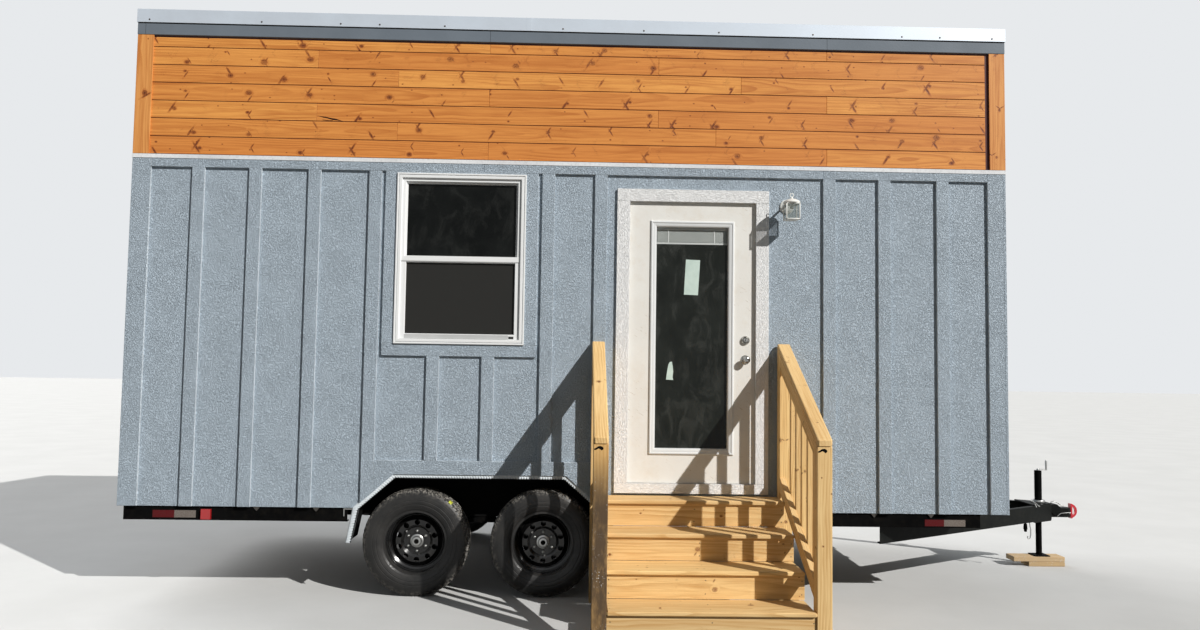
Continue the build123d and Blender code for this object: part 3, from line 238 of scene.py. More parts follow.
# Sawn softwood. Growth rings are circles about a line behind the face that tapers along the
# board, so the face shows arches. Knots come in groups, one group in each length of the board:
# a round knot, and spikes that lean away from it. Pin knots are strewn. The rings bend round all.
# s runs along the board, a across its face and d into it. A seed moves the pattern of a board.
def woodFinish(name, look):
    material = start(name)
    seed = layer("seed")
    s, a, d = split(layer("grain", "Vector"))
    red, green, blue = chance(seed * 91.7)
    shifted = join(scaled(seed, 37.0, s), scaled(seed, 11.0, a), d)

    low, high = look["groupEvery"]
    every = scaled(red, high - low, low)
    turns = scaled(seed, 29.0, s) / every
    index = calc("FLOOR", turns)
    key = scaled(seed, 413.0, index)
    one = chance(key)
    two = chance(key + 0.37)
    fromS = (turns - index - 0.5) * every - (one[0] - 0.5) * 0.12
    wobble = scaled(noise(shifted, 70.0), 0.7, -0.35)
    size, spread = look["knotSize"], look["knotSpread"]
    leanA = scaled(d, 0.8, a)
    sizeOne = scaled(one[1] ** 2.0, size, size * 0.25)
    ratioOne = knotRatio(fromS, leanA - (one[2] - 0.5) * spread, sizeOne * 1.25, sizeOne, 0.0, 1.0)
    sign = calc("GREATER_THAN", two[0], 0.5) * 2.0 - 1.0
    sizeTwo = scaled(two[1], size * 0.32, size * 0.18)
    longTwo = sizeTwo * look["spike"]
    alongTwo = fromS + (two[1] - 0.5) * 0.05
    acrossTwo = leanA - (two[2] - 0.5) * (spread * 1.1)
    ratioTwo = knotRatio(alongTwo, acrossTwo, longTwo, sizeTwo, 1.0, sign)
    acrossThree = acrossTwo + sign * (size * 2.2)
    absent = calc("GREATER_THAN", one[0], 0.45) * 20.0
    ratioThree = knotRatio(alongTwo, acrossThree, longTwo, sizeTwo, 1.0, sign * -1.0) + absent
    pinPlace = join(scaled(seed, 407.0, s * 11.0), scaled(seed, 187.0, leanA * 17.0), 0.0)
    pin = add("TexVoronoi", {"Vector": pinPlace, "Scale": 1.0}, "Distance", voronoi_dimensions="2D")
    pinChance = split(Wire(pin.socket.node.outputs["Color"]))[0]
    pin = pin * 24.0 + calc("LESS_THAN", pinChance, 1.0 - look["pins"]) * 9.0
    spikes = calc("MINIMUM", ratioTwo, ratioThree)
    ratio = calc("MINIMUM", calc("MINIMUM", ratioOne, spikes) + wobble, pin)
    halo = fade(ratio, 3.0, 1.0)
    knot = fade(ratio, 1.05, 0.8)

    pushed = a * (1.0 - halo * 0.55)
    pithA, pithD = scaled(red, 0.10, -0.05), scaled(green, -0.09, -0.012)
    ring = calc("SQRT", (pushed - pithA) ** 2.0 + (d - pithD) ** 2.0)
    ring = scaled(noise(stretch(shifted, (1.3, 5.0, 5.0)), 1.0, 2.5), look["sway"], ring)
    ring = scaled(halo, 0.012, scaled(s, 0.012, ring))
    turn = calc("FRACT", ring / look["ringWidth"])
    strong = fade(noise(stretch(shifted, (1.6, 6.0, 6.0)), 1.0), 0.35, 0.65)
    late = fade(turn, 0.30, 0.92) * fade(turn, 1.0, 0.93)
    late = late * calc("MAXIMUM", scaled(strong, 0.75, 0.25), halo)
    fibre = noise(stretch(shifted, (6.0, 230.0, 230.0)), 1.0)
    streak = noise(stretch(shifted, (1.1, 30.0, 30.0)), 1.0, 3.0, 0.6)

    colour = tint((1.0 - blue) * look["toneRange"], look["light"], look["deep"])
    coats = [
        (late * look["contrast"], "dark"), (fade(fibre, 0.45, 0.8) * (look["contrast"] * 0.7), "dark"),
        (fade(streak, 0.42, 0.72) * look["patchy"], "dark"), (halo ** 1.8 * look["haloDepth"], "halo"),
        (fade(ratio, 1.5, 1.05) * fade(ratio, 0.8, 1.05) * 0.75, "rim"),
        (knot, "knot"), (fade(ratio, 0.6, 0.25), "rim"),
    ]
    for amount, coat in coats:
        colour = tint(amount, colour, look[coat])
    if "grime" in look:
        dirt = noise(stretch(shifted, (5.0, 14.0, 14.0)), 1.0, 4.0, 0.65)
        z = split(objectPlace())[2]
        lower = fade(scaled(dirt, 0.35, z), look["grimeFrom"] + 0.35, look["grimeFrom"])
        colour = tint(fade(dirt, 0.25, 0.6) * lower * look["grimeDepth"], colour, look["grime"])
        colour = tint(lower * (look["grimeDepth"] * 0.55), colour, look["grime"])
        spots = fade(noise(shifted, 120.0, 1.0), 0.66, 0.70) * fade(noise(shifted, 9.0, 1.0), 0.45, 0.6)
        colour = tint(spots * lower, colour, (0.60, 0.60, 0.58))
    height = scaled(late, 0.5, fibre * 0.6) - knot
    normal = bump(height, look["depth"])
    return finish(material, colour, scaled(fibre, 0.15, look["rough"]), normal, shine=look["shine"])


stainLook = {
    "light": (0.81, 0.370, 0.092), "dark": (0.44, 0.135, 0.026), "deep": (0.60, 0.200, 0.046),
    "halo": (0.42, 0.125, 0.026), "knot": (0.22, 0.055, 0.014), "rim": (0.085, 0.020, 0.007),
    "haloDepth": 0.75, "groupEvery": (0.28, 0.60), "knotSize": 0.012, "knotSpread": 0.085, "spike": 5.0,
    "pins": 0.10, "ringWidth": 0.014, "sway": 0.05, "contrast": 0.7, "patchy": 0.55, "toneRange": 0.75,
    "rough": 0.40, "shine": 0.25, "depth": 0.0004,
}
pineLook = {
    "light": (0.87, 0.610, 0.275), "dark": (0.50, 0.270, 0.085), "deep": (0.70, 0.495, 0.245),
    "halo": (0.56, 0.33, 0.12), "knot": (0.26, 0.105, 0.038), "rim": (0.115, 0.045, 0.020),
    "haloDepth": 0.45, "groupEvery": (0.55, 1.1), "knotSize": 0.010, "knotSpread": 0.10, "spike": 2.2,
    "pins": 0.05, "ringWidth": 0.017, "sway": 0.07, "contrast": 0.75, "patchy": 0.35, "toneRange": 1.0,
    "rough": 0.6, "shine": 0.25, "depth": 0.0005,
}
woodLooks = {
    "stainedBand": stainLook,
    "stainedPost": dict(stainLook, light=(0.80, 0.385, 0.120), deep=(0.62, 0.255, 0.070), toneRange=0.45),
    "pine": pineLook,
    "oldPine": dict(
        pineLook, light=(0.78, 0.52, 0.215), deep=(0.64, 0.39, 0.15),
        grime=(0.080, 0.052, 0.030), grimeDepth=0.97, grimeFrom=0.98,
    ),
    "blockWood": dict(
        pineLook, light=(0.78, 0.57, 0.33), dark=(0.52, 0.34, 0.17),
        grime=(0.38, 0.28, 0.17), grimeDepth=0.4, grimeFrom=0.3,
    ),
    "rebateShade": dict(
        stainLook, light=(0.075, 0.018, 0.018), dark=(0.045, 0.010, 0.010), deep=(0.06, 0.014, 0.014),
    ),
}


# Painted or bare metal and plastic: one colour clouded by slow noise, with fine grit in the gloss.
# dust lies in blotches, and scuff is dragged across in slanting lines.
def plainFinish(name, colour, second, rough, more):
    look = {"cloud": 3.0, "grit": 240.0, "dustScale": 22.0, "depth": 0.00012, **more}
    material = start(name)
    where = objectPlace()
    cloud = noise(where, look["cloud"], 4.0, 0.6)
    colour = tint(fade(cloud, 0.3, 0.7), colour, second)
    if "dust" in look:
        blotch = fade(noise(where, look["dustScale"], 5.0, 0.7), 0.45, 0.75)
        colour = tint(blotch * look["dustDepth"], colour, look["dust"])
    if "scuff" in look:
        x, y, z = split(where)
        slant = join(scaled(z, -12.0, x * 9.0), 0.0, scaled(x, 60.0, z * 95.0))
        line = fade(noise(slant, 1.0, 3.0, 0.6), 0.62, 0.68)
        colour = tint(line * fade(noise(where, 3.1), 0.50, 0.60) * 0.6, colour, look["scuff"])
    normal = bump(noise(where, look["grit"]), look["depth"])
    metal, coat = look.get("metal", 0.0), look.get("coat", 0.0)
    return finish(material, colour, scaled(cloud, 0.12, rough), normal, metal, coat, look.get("shine"))


# Each finish: its colour, the colour of its clouds, its roughness, and what else it has
plainLooks = {
    "roofMetal": ((0.57, 0.63, 0.70), (0.52, 0.57, 0.63), 0.34, {"metal": 0.4}),
    "roofPanel": ((0.46, 0.51, 0.57), (0.42, 0.465, 0.52), 0.5, {"shine": 0.2}),
    "flashing": (
        (0.78, 0.80, 0.82), (0.66, 0.67, 0.69), 0.42,
        {"dust": (0.42, 0.43, 0.44), "dustDepth": 0.5, "dustScale": 60.0},
    ),
    "fasciaPaint": (
        (0.150, 0.178, 0.210), (0.128, 0.153, 0.182), 0.5, {"depth": 0.0005, "grit": 90.0, "shine": 0.3},
    ),
    "vinyl": ((0.80, 0.815, 0.82), (0.765, 0.78, 0.785), 0.32, {"shine": 0.35}),
    "sashShade": ((0.055, 0.057, 0.055), (0.035, 0.037, 0.035), 0.6, {"shine": 0.1}),
    "sashGrey": ((0.52, 0.53, 0.53), (0.44, 0.45, 0.45), 0.4, {}),
    "doorPaint": (
        (0.765, 0.76, 0.725), (0.73, 0.715, 0.675), 0.42,
        {"dust": (0.66, 0.60, 0.51), "dustDepth": 0.4, "dustScale": 9.0, "scuff": (0.36, 0.27, 0.18),
         "depth": 0.0003, "grit": 120.0, "shine": 0.3},
    ),
    "liteFrame": ((0.69, 0.71, 0.715), (0.65, 0.67, 0.675), 0.35, {"shine": 0.3}),
    "blindGrey": ((0.60, 0.64, 0.62), (0.52, 0.56, 0.54), 0.5, {}),
    "blind": ((0.86, 0.89, 0.87), (0.80, 0.84, 0.82), 0.45, {}),
    # Nickel: the dark and bright blotches from fast clouds are painted reflections
    "nickel": ((0.50, 0.49, 0.46), (0.10, 0.097, 0.09), 0.12, {"metal": 1.0, "cloud": 42.0}),
    "zinc": ((0.44, 0.44, 0.43), (0.30, 0.30, 0.29), 0.28, {"metal": 1.0}),
    "lanternWhite": ((0.82, 0.83, 0.80), (0.73, 0.74, 0.71), 0.3, {"coat": 0.1}),
    # Black paint, darkened further as painted shade under the house
    "frameBlackShaded": (
        (0.0022, 0.0022, 0.0024), (0.005, 0.005, 0.005), 0.55,
        {"dust": (0.016, 0.014, 0.011), "dustDepth": 0.35, "cloud": 8.0, "shine": 0.02},
    ),
    # Black paint, darkened further as painted shade
    "tongueShadedPaint": (
        (0.004, 0.0048, 0.0045), (0.008, 0.009, 0.0085), 0.42,
        {"dust": (0.028, 0.026, 0.021), "dustDepth": 0.3, "cloud": 9.0, "shine": 0.07},
    ),
    "wheelBlack": (
        (0.004, 0.004, 0.0045), (0.008, 0.008, 0.008), 0.12,
        {"dust": (0.03, 0.028, 0.024), "dustDepth": 0.25, "shine": 0.45},
    ),
    # Wheel wells: black, darkened further as painted shade inside the arches
    "arch": ((0.005, 0.005, 0.005), (0.009, 0.009, 0.009), 0.8, {"shine": 0.05}),
    "edgePaint": (
        (0.74, 0.80, 0.84), (0.66, 0.72, 0.76), 0.4,
        {"dust": (0.34, 0.35, 0.34), "dustDepth": 0.3, "shine": 0.3},
    ),
    "markPaint": ((0.55, 0.58, 0.05), (0.22, 0.24, 0.03), 0.6, {"cloud": 60.0}),
    "lockRed": ((0.58, 0.012, 0.030), (0.46, 0.008, 0.020), 0.3, {"coat": 0.3}),
    "lensRed": ((0.42, 0.012, 0.014), (0.30, 0.008, 0.010), 0.12, {"coat": 0.6}),
    "deckSheet": ((0.62, 0.48, 0.32), (0.52, 0.38, 0.23), 0.6, {"cloud": 2.2}),
    "paper": ((0.58, 0.70, 0.645), (0.50, 0.62, 0.57), 0.7, {"cloud": 14.0, "shine": 0.2}),
    "darkGap": ((0.006, 0.006, 0.006), (0.010, 0.009, 0.008), 0.9, {"shine": 0.0}),
    "crackShade": ((0.022, 0.010, 0.007), (0.040, 0.016, 0.010), 0.9, {"shine": 0.1}),
    "clipPlate": ((0.045, 0.040, 0.034), (0.032, 0.028, 0.024), 0.5, {}),
    "nailHead": ((0.10, 0.08, 0.065), (0.05, 0.042, 0.035), 0.4, {"metal": 0.7}),
    "stringerPine": ((0.50, 0.33, 0.15), (0.36, 0.22, 0.09), 0.65, {"cloud": 9.0}),
}


# White trim board with a pressed grain along the board, greyer in the grain's grooves as painted shade
def trimBoardFinish(name):
    material = start(name)
    ridge = pressedGrain(stretch(boardPlace(), (36.0, 130.0, 130.0)), 0.6, 0.10)
    colour = tint(ridge, (0.76, 0.77, 0.775), (0.83, 0.84, 0.845))
    return finish(material, colour, 0.48, bump(ridge, 0.0022))


# Glass: a thin see-through share under a weak mirror, with pale smears where hands and rain were.
# Above the height bare it is nearly clear, so that what hangs close behind it shows.
def glassFinish(name, look):
    material = start(name)
    where = objectPlace()
    smear = noise(where, 5.0, 4.0, 0.6)
    brighter = tuple(c * 1.6 + 0.004 for c in look["colour"])
    tone = tint(fade(smear, 0.3, 0.8), look["colour"], brighter)
    wipe = noise(stretch(where, (9.0, 9.0, 5.0)), 1.0, 5.0, 0.7, 0.8)
    film = fade(wipe, 0.46, 0.66) * look["film"]
    clear = look["clear"] - film * look["clear"]
    if "bare" in look:
        edge = fade(split(where)[2], look["bare"] - 0.002, look["bare"])
        clear = calc("MAXIMUM", clear, edge * 0.9)
    colour = tint(film, tone, (0.30, 0.31, 0.29))
    finish(material, colour, scaled(smear, 0.05, 0.01), shine=look["mirror"])
    inputs = tree.nodes["Principled BSDF"].inputs
    feed(inputs["Alpha"], 1.0 - clear)
    inputs["IOR"].default_value = 1.5
    return material


glassLooks = {
    # Near-black, nearly opaque panes: partly tinted glass, partly painted shade of the dark room behind
    "windowPane": {"colour": (0.0025, 0.0032, 0.0029), "clear": 0.05, "film": 0.03, "mirror": 0.10},
    "doorPane": {"colour": (0.01, 0.012, 0.01), "clear": 0.12, "film": 0.07, "mirror": 0.14, "bare": 2.4985},
    "lanternPane": {"colour": (0.16, 0.19, 0.17), "clear": 0.80, "film": 0.1, "mirror": 0.4},
}


# Woven mesh: two waves of threads at right angles, dark with light picks
def screenFinish(name):
    material = start(name)
    x, y, z = split(objectPlace())
    across, upward = [calc("ABSOLUTE", calc("SINE", way * 2100.0)) for way in (x, z)]
    thread = calc("MAXIMUM", across, upward)
    colour = tint(fade(thread, 0.8, 1.0), (0.013, 0.013, 0.0125), (0.022, 0.022, 0.020))
    return finish(material, colour, 0.8, bump(thread, 0.0002), shine=0.2)


# Rubber: plain sidewalls, with dust where the "dust" attribute is high
def rubberFinish(name):
    material = start(name)
    where = objectPlace()
    spots = fade(noise(where, 60.0, 5.0, 0.75), 0.46, 0.60)
    veil = fade(noise(where, 6.0, 3.0), 0.3, 0.7)
    colour = tint(veil, (0.013, 0.013, 0.013), (0.026, 0.025, 0.024))
    colour = tint(spots * layer("dust"), colour, (0.24, 0.225, 0.20))
    normal = bump(noise(where, 300.0), 0.0003)
    return finish(material, colour, scaled(spots, 0.3, 0.36), normal, shine=0.28)


# Reflective tape: a fine diamond net over red and white lengths, told apart by the seed attribute. Red and
# white are darkened as painted shade under the siding's edge.
def tapeFinish(name):
    material = start(name)
    x, y, z = split(objectPlace())
    one, two = calc("PINGPONG", x + z, 0.004), calc("PINGPONG", x - z, 0.004)
    net = fade(calc("MINIMUM", one, two), 0.0004, 0.0010)
    white = calc("GREATER_THAN", layer("seed"), 0.5)
    plain = tint(white, (0.10, 0.0015, 0.004), (0.22, 0.205, 0.18))
    return finish(material, tint(net, (0.07, 0.03, 0.03), plain), 0.4, shine=0.1)


finishes = {name: plainFinish(name, *look) for name, look in plainLooks.items()}
finishes.update({name: woodFinish(name, look) for name, look in woodLooks.items()})
finishes.update({name: glassFinish(name, look) for name, look in glassLooks.items()})
finishes["siding"] = sidingFinish("siding", sidingLook, False)
finishes["trimPaint"] = sidingFinish("trimPaint", sidingLook, True)
finishes["trimBoard"] = trimBoardFinish("trimBoard")
finishes["screen"] = screenFinish("screen")
finishes["rubber"] = rubberFinish("rubber")
finishes["tape"] = tapeFinish("tape")


# Quads between neighbouring rows of a grid of points, whose rows are closed loops. The last row
# meets the first in a ring, or else the first and the last row get one face each.
def gridFaces(rows, columns, ring=False):
    row, column = np.meshgrid(np.arange(rows if ring else rows - 1), np.arange(columns), indexing="ij")
    nextRow, nextColumn = (row + 1) % rows, (column + 1) % columns
    quad = [(row, column), (row, nextColumn), (nextRow, nextColumn), (nextRow, column)]
    faces = np.stack([r * columns + c for r, c in quad], -1).reshape(-1, 4).tolist()
    ends = [] if ring else [range(columns), range((rows - 1) * columns, rows * columns)]
    return faces + [list(end) for end in ends]


# A shape for makePiece: a grid of points in mm, its faces, and its own values for the finish
def solid(grid, ring=False, **values):
    return {"points": grid.reshape(-1, 3), "faces": gridFaces(*grid.shape[:2], ring), **values}


def addPiece(name, mesh, material, body, replaced, smooth):
    mesh.polygons.foreach_set("use_smooth", [smooth] * len(mesh.polygons))
    if smooth:
        mesh.set_sharp_from_angle(angle=math.radians(38))
    mesh.materials.clear()
    mesh.materials.append(finishes[material])
    piece = bpy.data.objects.new(name, mesh)
    bpy.context.scene.collection.objects.link(piece)
    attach(piece, body)
    if replaced:
        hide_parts(*replaced)
    print("piece", name, len(mesh.polygons))
    return piece


# Joins shapes into one piece that rides on a body
def makePiece(name, shapes, material, body="house", replaced=(), smooth=False):
    faces, count = [], 0
    for shape in shapes:
        faces += [[i + count for i in face] for face in shape["faces"]]
        count += len(shape["points"])
    mesh = bpy.data.meshes.new(name)
    mesh.from_pydata(place(np.concatenate([shape["points"] for shape in shapes])).tolist(), [], faces)
    for key, size in (("grain", 3), ("seed", 1), ("dust", 1), ("edge", 1)):
        own = [np.broadcast_to(shape.get(key, 0.0), (len(shape["points"]), size)) for shape in shapes]
        kind, field = ("FLOAT_VECTOR", "vector") if size == 3 else ("FLOAT", "value")
        values = np.concatenate(own).astype(np.float32).reshape(-1)
        mesh.attributes.new(key, kind, "POINT").data.foreach_set(field, values)
    shaped = bmesh.new()
    shaped.from_mesh(mesh)
    bmesh.ops.recalc_face_normals(shaped, faces=shaped.faces)
    shaped.to_mesh(mesh)
    shaped.free()
    return addPiece(name, mesh, material, body, replaced, smooth)


# A CAD node's own shape with its seams closed and its sharp edges eased
def easedCopy(name, label, material, width, body="house"):
    mesh = bpy.data.meshes.new(name)
    shaped = bmesh.new()
    shaped.from_mesh(nodes[label].data)
    shaped.transform(nodes[label].matrix_world)
    bmesh.ops.remove_doubles(shaped, verts=shaped.verts, dist=0.00001)
    bmesh.ops.dissolve_limit(shaped, angle_limit=0.01, verts=shaped.verts, edges=shaped.edges)
    shaped.to_mesh(mesh)
    shaped.free()
    bevel = addPiece(name, mesh, material, body, (label,), True).modifiers.new("eased", "BEVEL")
    bevel.width = width / 1000
    bevel.segments = 2
    bevel.limit_method = "ANGLE"
    bevel.angle_limit = math.radians(40)
    bevel.harden_normals = True


# A board: an outline with eased corners carried along stations. A station is a line across the
# board from its low edge to its high edge, each end as (distance along, distance across).
# The board's thickness grows from the start plane to the side of along times across.
def board(origin, along, across, stations, thick, ease=2.0, seed=None, turns=(0, 45, 90)):
    along, across = (np.asarray(v, float) / np.linalg.norm(v) for v in (along, across))
    turn = np.radians(turns)
    bend, lift = ease * (1 - np.cos(turn)), ease * (1 - np.sin(turn))
    highSide = np.repeat([True, True, False, False], len(turns))[:, None]
    inward = np.concatenate([bend[::-1], bend, bend[::-1], bend])
    depth = np.concatenate([lift[::-1], thick - lift, thick - lift[::-1], lift])
    capInward, capDepth = inward + ease * 0.6, np.clip(depth, ease, thick - ease)
    lines = np.asarray(stations, float)
    rings = [(lines[0], capInward, capDepth, 0.0), (lines[0], inward, depth, ease)]
    rings += [(line, inward, depth, 0.0) for line in lines[1:-1]]
    rings += [(lines[-1], inward, depth, -ease), (lines[-1], capInward, capDepth, 0.0)]
    local, edge = [], []
    for (low, high), inset, deep, shift in rings:
        step = inset[:, None] * (high - low) / max(np.linalg.norm(high - low), 1e-6)
        spot = np.where(highSide, high - step, low + step)
        local.append(np.column_stack([spot[:, 0] + shift, spot[:, 1], deep]))
        edge.append(np.clip(1 - inset / ease, 0, 1))
    local = np.array(local)
    middle = (local.max((0, 1)) + local.min((0, 1))) / 2 * [0, 1, 1]
    grain = (local - middle).reshape(-1, 3) / 1000
    seed = dice.random() if seed is None else seed
    points = np.asarray(origin, float) + local @ np.array([along, across, np.cross(along, across)])
    return solid(points, grain=grain, seed=seed, edge=np.concatenate(edge)[:, None])


# Stations of a board with a foot and a top that may slant, each as heights at its two edges
def slanted(foot, top, wide):
    return [((foot[0], 0), (foot[1], wide)), ((top[0], 0), (top[1], wide))]


def plank(origin, along, across, long, wide, thick, ease=2.0, seed=None):
    return board(origin, along, across, slanted((0, 0), (long, long), wide), thick, ease, seed)


def box(x, y, z, ease=1.0, seed=0.5):
    size = (x[1] - x[0], y[1] - y[0], z[1] - z[0])
    return plank((x[0], y[0], z[0]), toRight, toBack, *size, ease, seed)


# A mitred frame: a profile of (distance in from the outer edge, distance out from the wall)
# carried round a rectangle. out is -1 on the front wall and 1 on the back wall.
def mitredFrame(x0, x1, z0, z1, profile, wallY, out):
    w, d = np.asarray(profile, float).T
    corners = [(x0, z0, 1, 1), (x1, z0, -1, 1), (x1, z1, -1, -1), (x0, z1, 1, -1)]
    rows = [np.column_stack([x + sx * w, wallY + out * d, z + sz * w]) for x, z, sx, sz in corners]
    return solid(np.array(rows), True, seed=0.3)


# A turned shape: a profile of (distance along the axis, radius) spun about an axis line
def turned(origin, axis, profile, count=32, ring=False):
    origin, axis = np.asarray(origin, float), np.asarray(axis, float)
    side = np.cross(axis, [0.0, 0.0, 1.0] if abs(axis[2]) < 0.9 else [1.0, 0.0, 0.0])
    other = np.cross(axis, side)
    t, r = np.asarray(profile, float).T[:, :, None, None]
    angle = (np.arange(count) * 2 * math.pi / count)[:, None]
    return solid(origin + t * axis + r * (np.cos(angle) * side + np.sin(angle) * other), ring, seed=0.5)


# A bar bent along a smooth path: circles, or flat ovals, carried along it square to the run
def bentBar(path, radius, count=10, flat=1.0):
    path = np.asarray(path, float)
    run = np.gradient(path, axis=0)
    run /= np.linalg.norm(run, axis=1)[:, None]
    side = np.cross(run, up if abs(run[:, 2]).max() < 0.95 else toBack)
    side /= np.maximum(np.linalg.norm(side, axis=1)[:, None], 1e-6)
    other = np.cross(run, side) * flat
    angle = (np.arange(count) * 2 * math.pi / count)[:, None]
    ring = np.cos(angle) * side[:, None] + np.sin(angle) * other[:, None]
    return solid(path[:, None] + radius * ring, seed=0.5)


# A flat plate with any outline in x and z, between two depths
def plate(outline, y0, y1):
    x, z = np.asarray(outline, float).T
    return solid(np.array([np.column_stack([x, np.full(len(x), y), z]) for y in (y0, y1)]), seed=0.5)


# Wood band under the roof: courses of boards with butt joints, on four walls
band = {
    "courses": [3075, 3203, 3332, 3460, 3589, 3717, 3846, 3942],
    "thick": 10, "gap": 5.2, "butt": 1.2, "ease": 1.6, "hide": -12, "side": 9, "rightEnd": 6067, "least": 8,
    "joints": [
        (2480, 4911), (1830, 4109), (1257, 3693), (2480, 4911), (1830, 4290), (1257, 3693), (2480, 4911),
    ],
    "backJoints": [(1500, 3940), (2700, 5100), (1100, 3500), (2300, 4700), (1600, 4000), (2900,), (2000,)],
}
length, width = house["length"], house["width"]


def fasciaLow(y):
    return house["roofTop"] - house["slope"] * (y + house["edge"]) - house["fasciaDeep"]


def bandTop(y):
    return fasciaLow(y) + band["hide"]


# The high edge of a course on an end wall is flat, then follows the roof down to nothing
def endCourse(x, z0, z1, forward):
    y0, y1 = -band["side"], width + band["side"]
    bendY = (bandTop(0) - z1) / house["slope"]
    endY = min(y1, (bandTop(0) - z0 - 6) / house["slope"])
    marks = [y0] + ([bendY] if y0 + 5 < bendY < endY - 5 else []) + [endY]
    first, along = (y0, toBack) if forward else (endY, toFront)
    marks = marks if forward else marks[::-1]
    stations = [((abs(y - first), 0), (abs(y - first), min(z1, bandTop(y)) - z0)) for y in marks]
    return board((x, first, z0), along, up, stations, band["thick"], band["ease"])


shapes = []
for index, (low, high) in enumerate(zip(band["courses"][:-1], band["courses"][1:])):
    z0, z1 = low + band["gap"] / 2, high - band["gap"] / 2
    walls = [
        (0, 0, toRight, [0, *band["joints"][index], band["rightEnd"]]),
        (width, width + band["thick"], toLeft, [0, *band["backJoints"][index], length]),
    ]
    for wallY, eaveY, along, cuts in walls:
        tall = min(z1, bandTop(eaveY)) - z0
        for x0, x1 in zip(cuts[:-1], cuts[1:]):
            first = x0 + band["butt"] / 2 if along == toRight else x1 - band["butt"] / 2
            size = (x1 - x0 - band["butt"], tall, band["thick"])
            if tall > band["least"]:
                shapes.append(plank((first, wallY, z0), along, up, *size, band["ease"]))
    shapes += [endCourse(length, z0, z1, True), endCourse(0, z0, z1, False)]
claddings = ("front_cladding", "back_cladding", "end_cladding")
makePiece("bandBoards", shapes, "stainedBand", replaced=claddings)

# The rebate behind the gaps between the boards, near black as painted shade: it shows in the gaps, under the
# fascia and beside the right corner board
rebate = {"foot": 3076, "in": 4, "over": 6, "thick": 5}
inset, shapes = rebate["in"], []
for x, y, along in ((inset, 0, toRight), (length - inset, width, toLeft),
                    (length, inset, toBack), (0, width - inset, toFront)):
    long = (width if along[1] else length) - 2 * inset
    high = [fasciaLow(y + t * along[1]) + rebate["over"] - rebate["foot"] for t in (0, long)]
    stations = [((0, 0), (0, high[0])), ((long, 0), (long, high[1]))]
    shapes.append(board((x, y, rebate["foot"]), along, up, stations, rebate["thick"], 0.5, 0.2))
makePiece("bandRebates", shapes, "rebateShade")

# One board of the band is split along its low edge, from a joint
crack = [
    (1258, 3373), (1288, 3367), (1319, 3364), (1360, 3356), (1395, 3351), (1425, 3341), (1446, 3334.5),
    (1446, 3332), (1408, 3339), (1372, 3341), (1333, 3353), (1304, 3357), (1277, 3366),
]
shake = [(1300, 3343), (1330, 3340), (1372, 3339), (1372, 3335.5), (1328, 3336), (1300, 3339.5)]
# The split and the shake beside it are near-black plates: painted shade in the cracks
shapes = [plate(crack, -9.5, -10.3), plate(shake, -9.5, -10.25)]
makePiece("boardSplit", shapes, "crackShade")

# Corner boards of the band, two at each corner, with a butt joint between them
posts = {"width": 114, "skin": 10, "thick": 10, "foot": 3073, "ease": 1.8}
skin, thick, foot, wide = posts["skin"], posts["thick"], posts["foot"], posts["width"]
shapes = []
for y, out in ((-skin, -1), (width + skin, 1)):
    top = fasciaLow(max(y, y + out * thick)) - foot
    for x0 in (-skin - thick, length + skin + thick - wide):
        first = x0 + wide if out < 0 else x0
        shapes.append(plank((first, y, foot), up, (out, 0, 0), top, wide, thick, posts["ease"]))
wide -= thick
for x, out in ((-skin, -1), (length + skin, 1)):
    for y0 in (-skin, width + skin - wide):
        first = y0 if out < 0 else y0 + wide
        ends = [fasciaLow(y) - foot for y in (first, first - out * wide)]
        stations = slanted((0, 0), ends, wide)
        shapes.append(board((x, first, foot), up, (0, -out, 0), stations, thick, posts["ease"]))
makePiece("bandCorners", shapes, "stainedPost", replaced=("cladding_corners",))
print("wood band done")

# Battens, corner boards and frieze, with the boards round the wheel arches and the windows
trim = {
    "foot": 612, "frieze": 2983, "top": 3068, "thick": 19, "batten": 89, "corner": 114, "ease": 2.4,
    "both": [446, 845, 1261], "front": [4928.5, 5325.1, 5746.9],
    "back": [3689.4, 4086.9, 4484.3, 4881.7, 5279.1, 5676.6], "end": [448, 858, 1268, 1678, 2088],
    "friezeJoints": (2455, 4886), "endCorner": 95, "short": [2124.8, 2510.5], "shortTop": 1674,
    "archEnds": (1690, 3292), "archPost": 2917, "archTop": 848, "archBoard": 945, "halfTop": 601,
    "middle": 2474, "archSlope": 236 / 269, "surround": (1762, 1846, 2760, 2844), "sill": 1758, "head": 2970,
    "origin": 600, "sharp": 60,
}
foot, frieze, top, thick, ease = (trim[key] for key in ("foot", "frieze", "top", "thick", "ease"))
base, half = trim["origin"], trim["batten"] / 2


def archEdge(x):
    return max(foot, trim["archTop"] - max(0, abs(x - trim["middle"]) - trim["halfTop"]) * trim["archSlope"])


# A board on the front wall (out -1) or the back wall (out 1). Its low end may follow archEdge.
def onWall(out, x0, x1, z0, z1, upright=True):
    wall, first = (0, x1) if out < 0 else (width, x0)
    if not upright:
        first = x0 if out < 0 else x1
        return plank((first, wall, z0), (-out, 0, 0), up, x1 - x0, z1 - z0, thick, ease)
    low = [z0(first + out * t) - base if callable(z0) else z0 - base for t in (0, x1 - x0)]
    stations = slanted(low, (z1 - base, z1 - base), x1 - x0)
    return board((first, wall, base), up, (out, 0, 0), stations, thick, ease)


def batten(out, centres, z0, z1):
    return [onWall(out, centre - half, centre + half, z0, z1) for centre in centres]


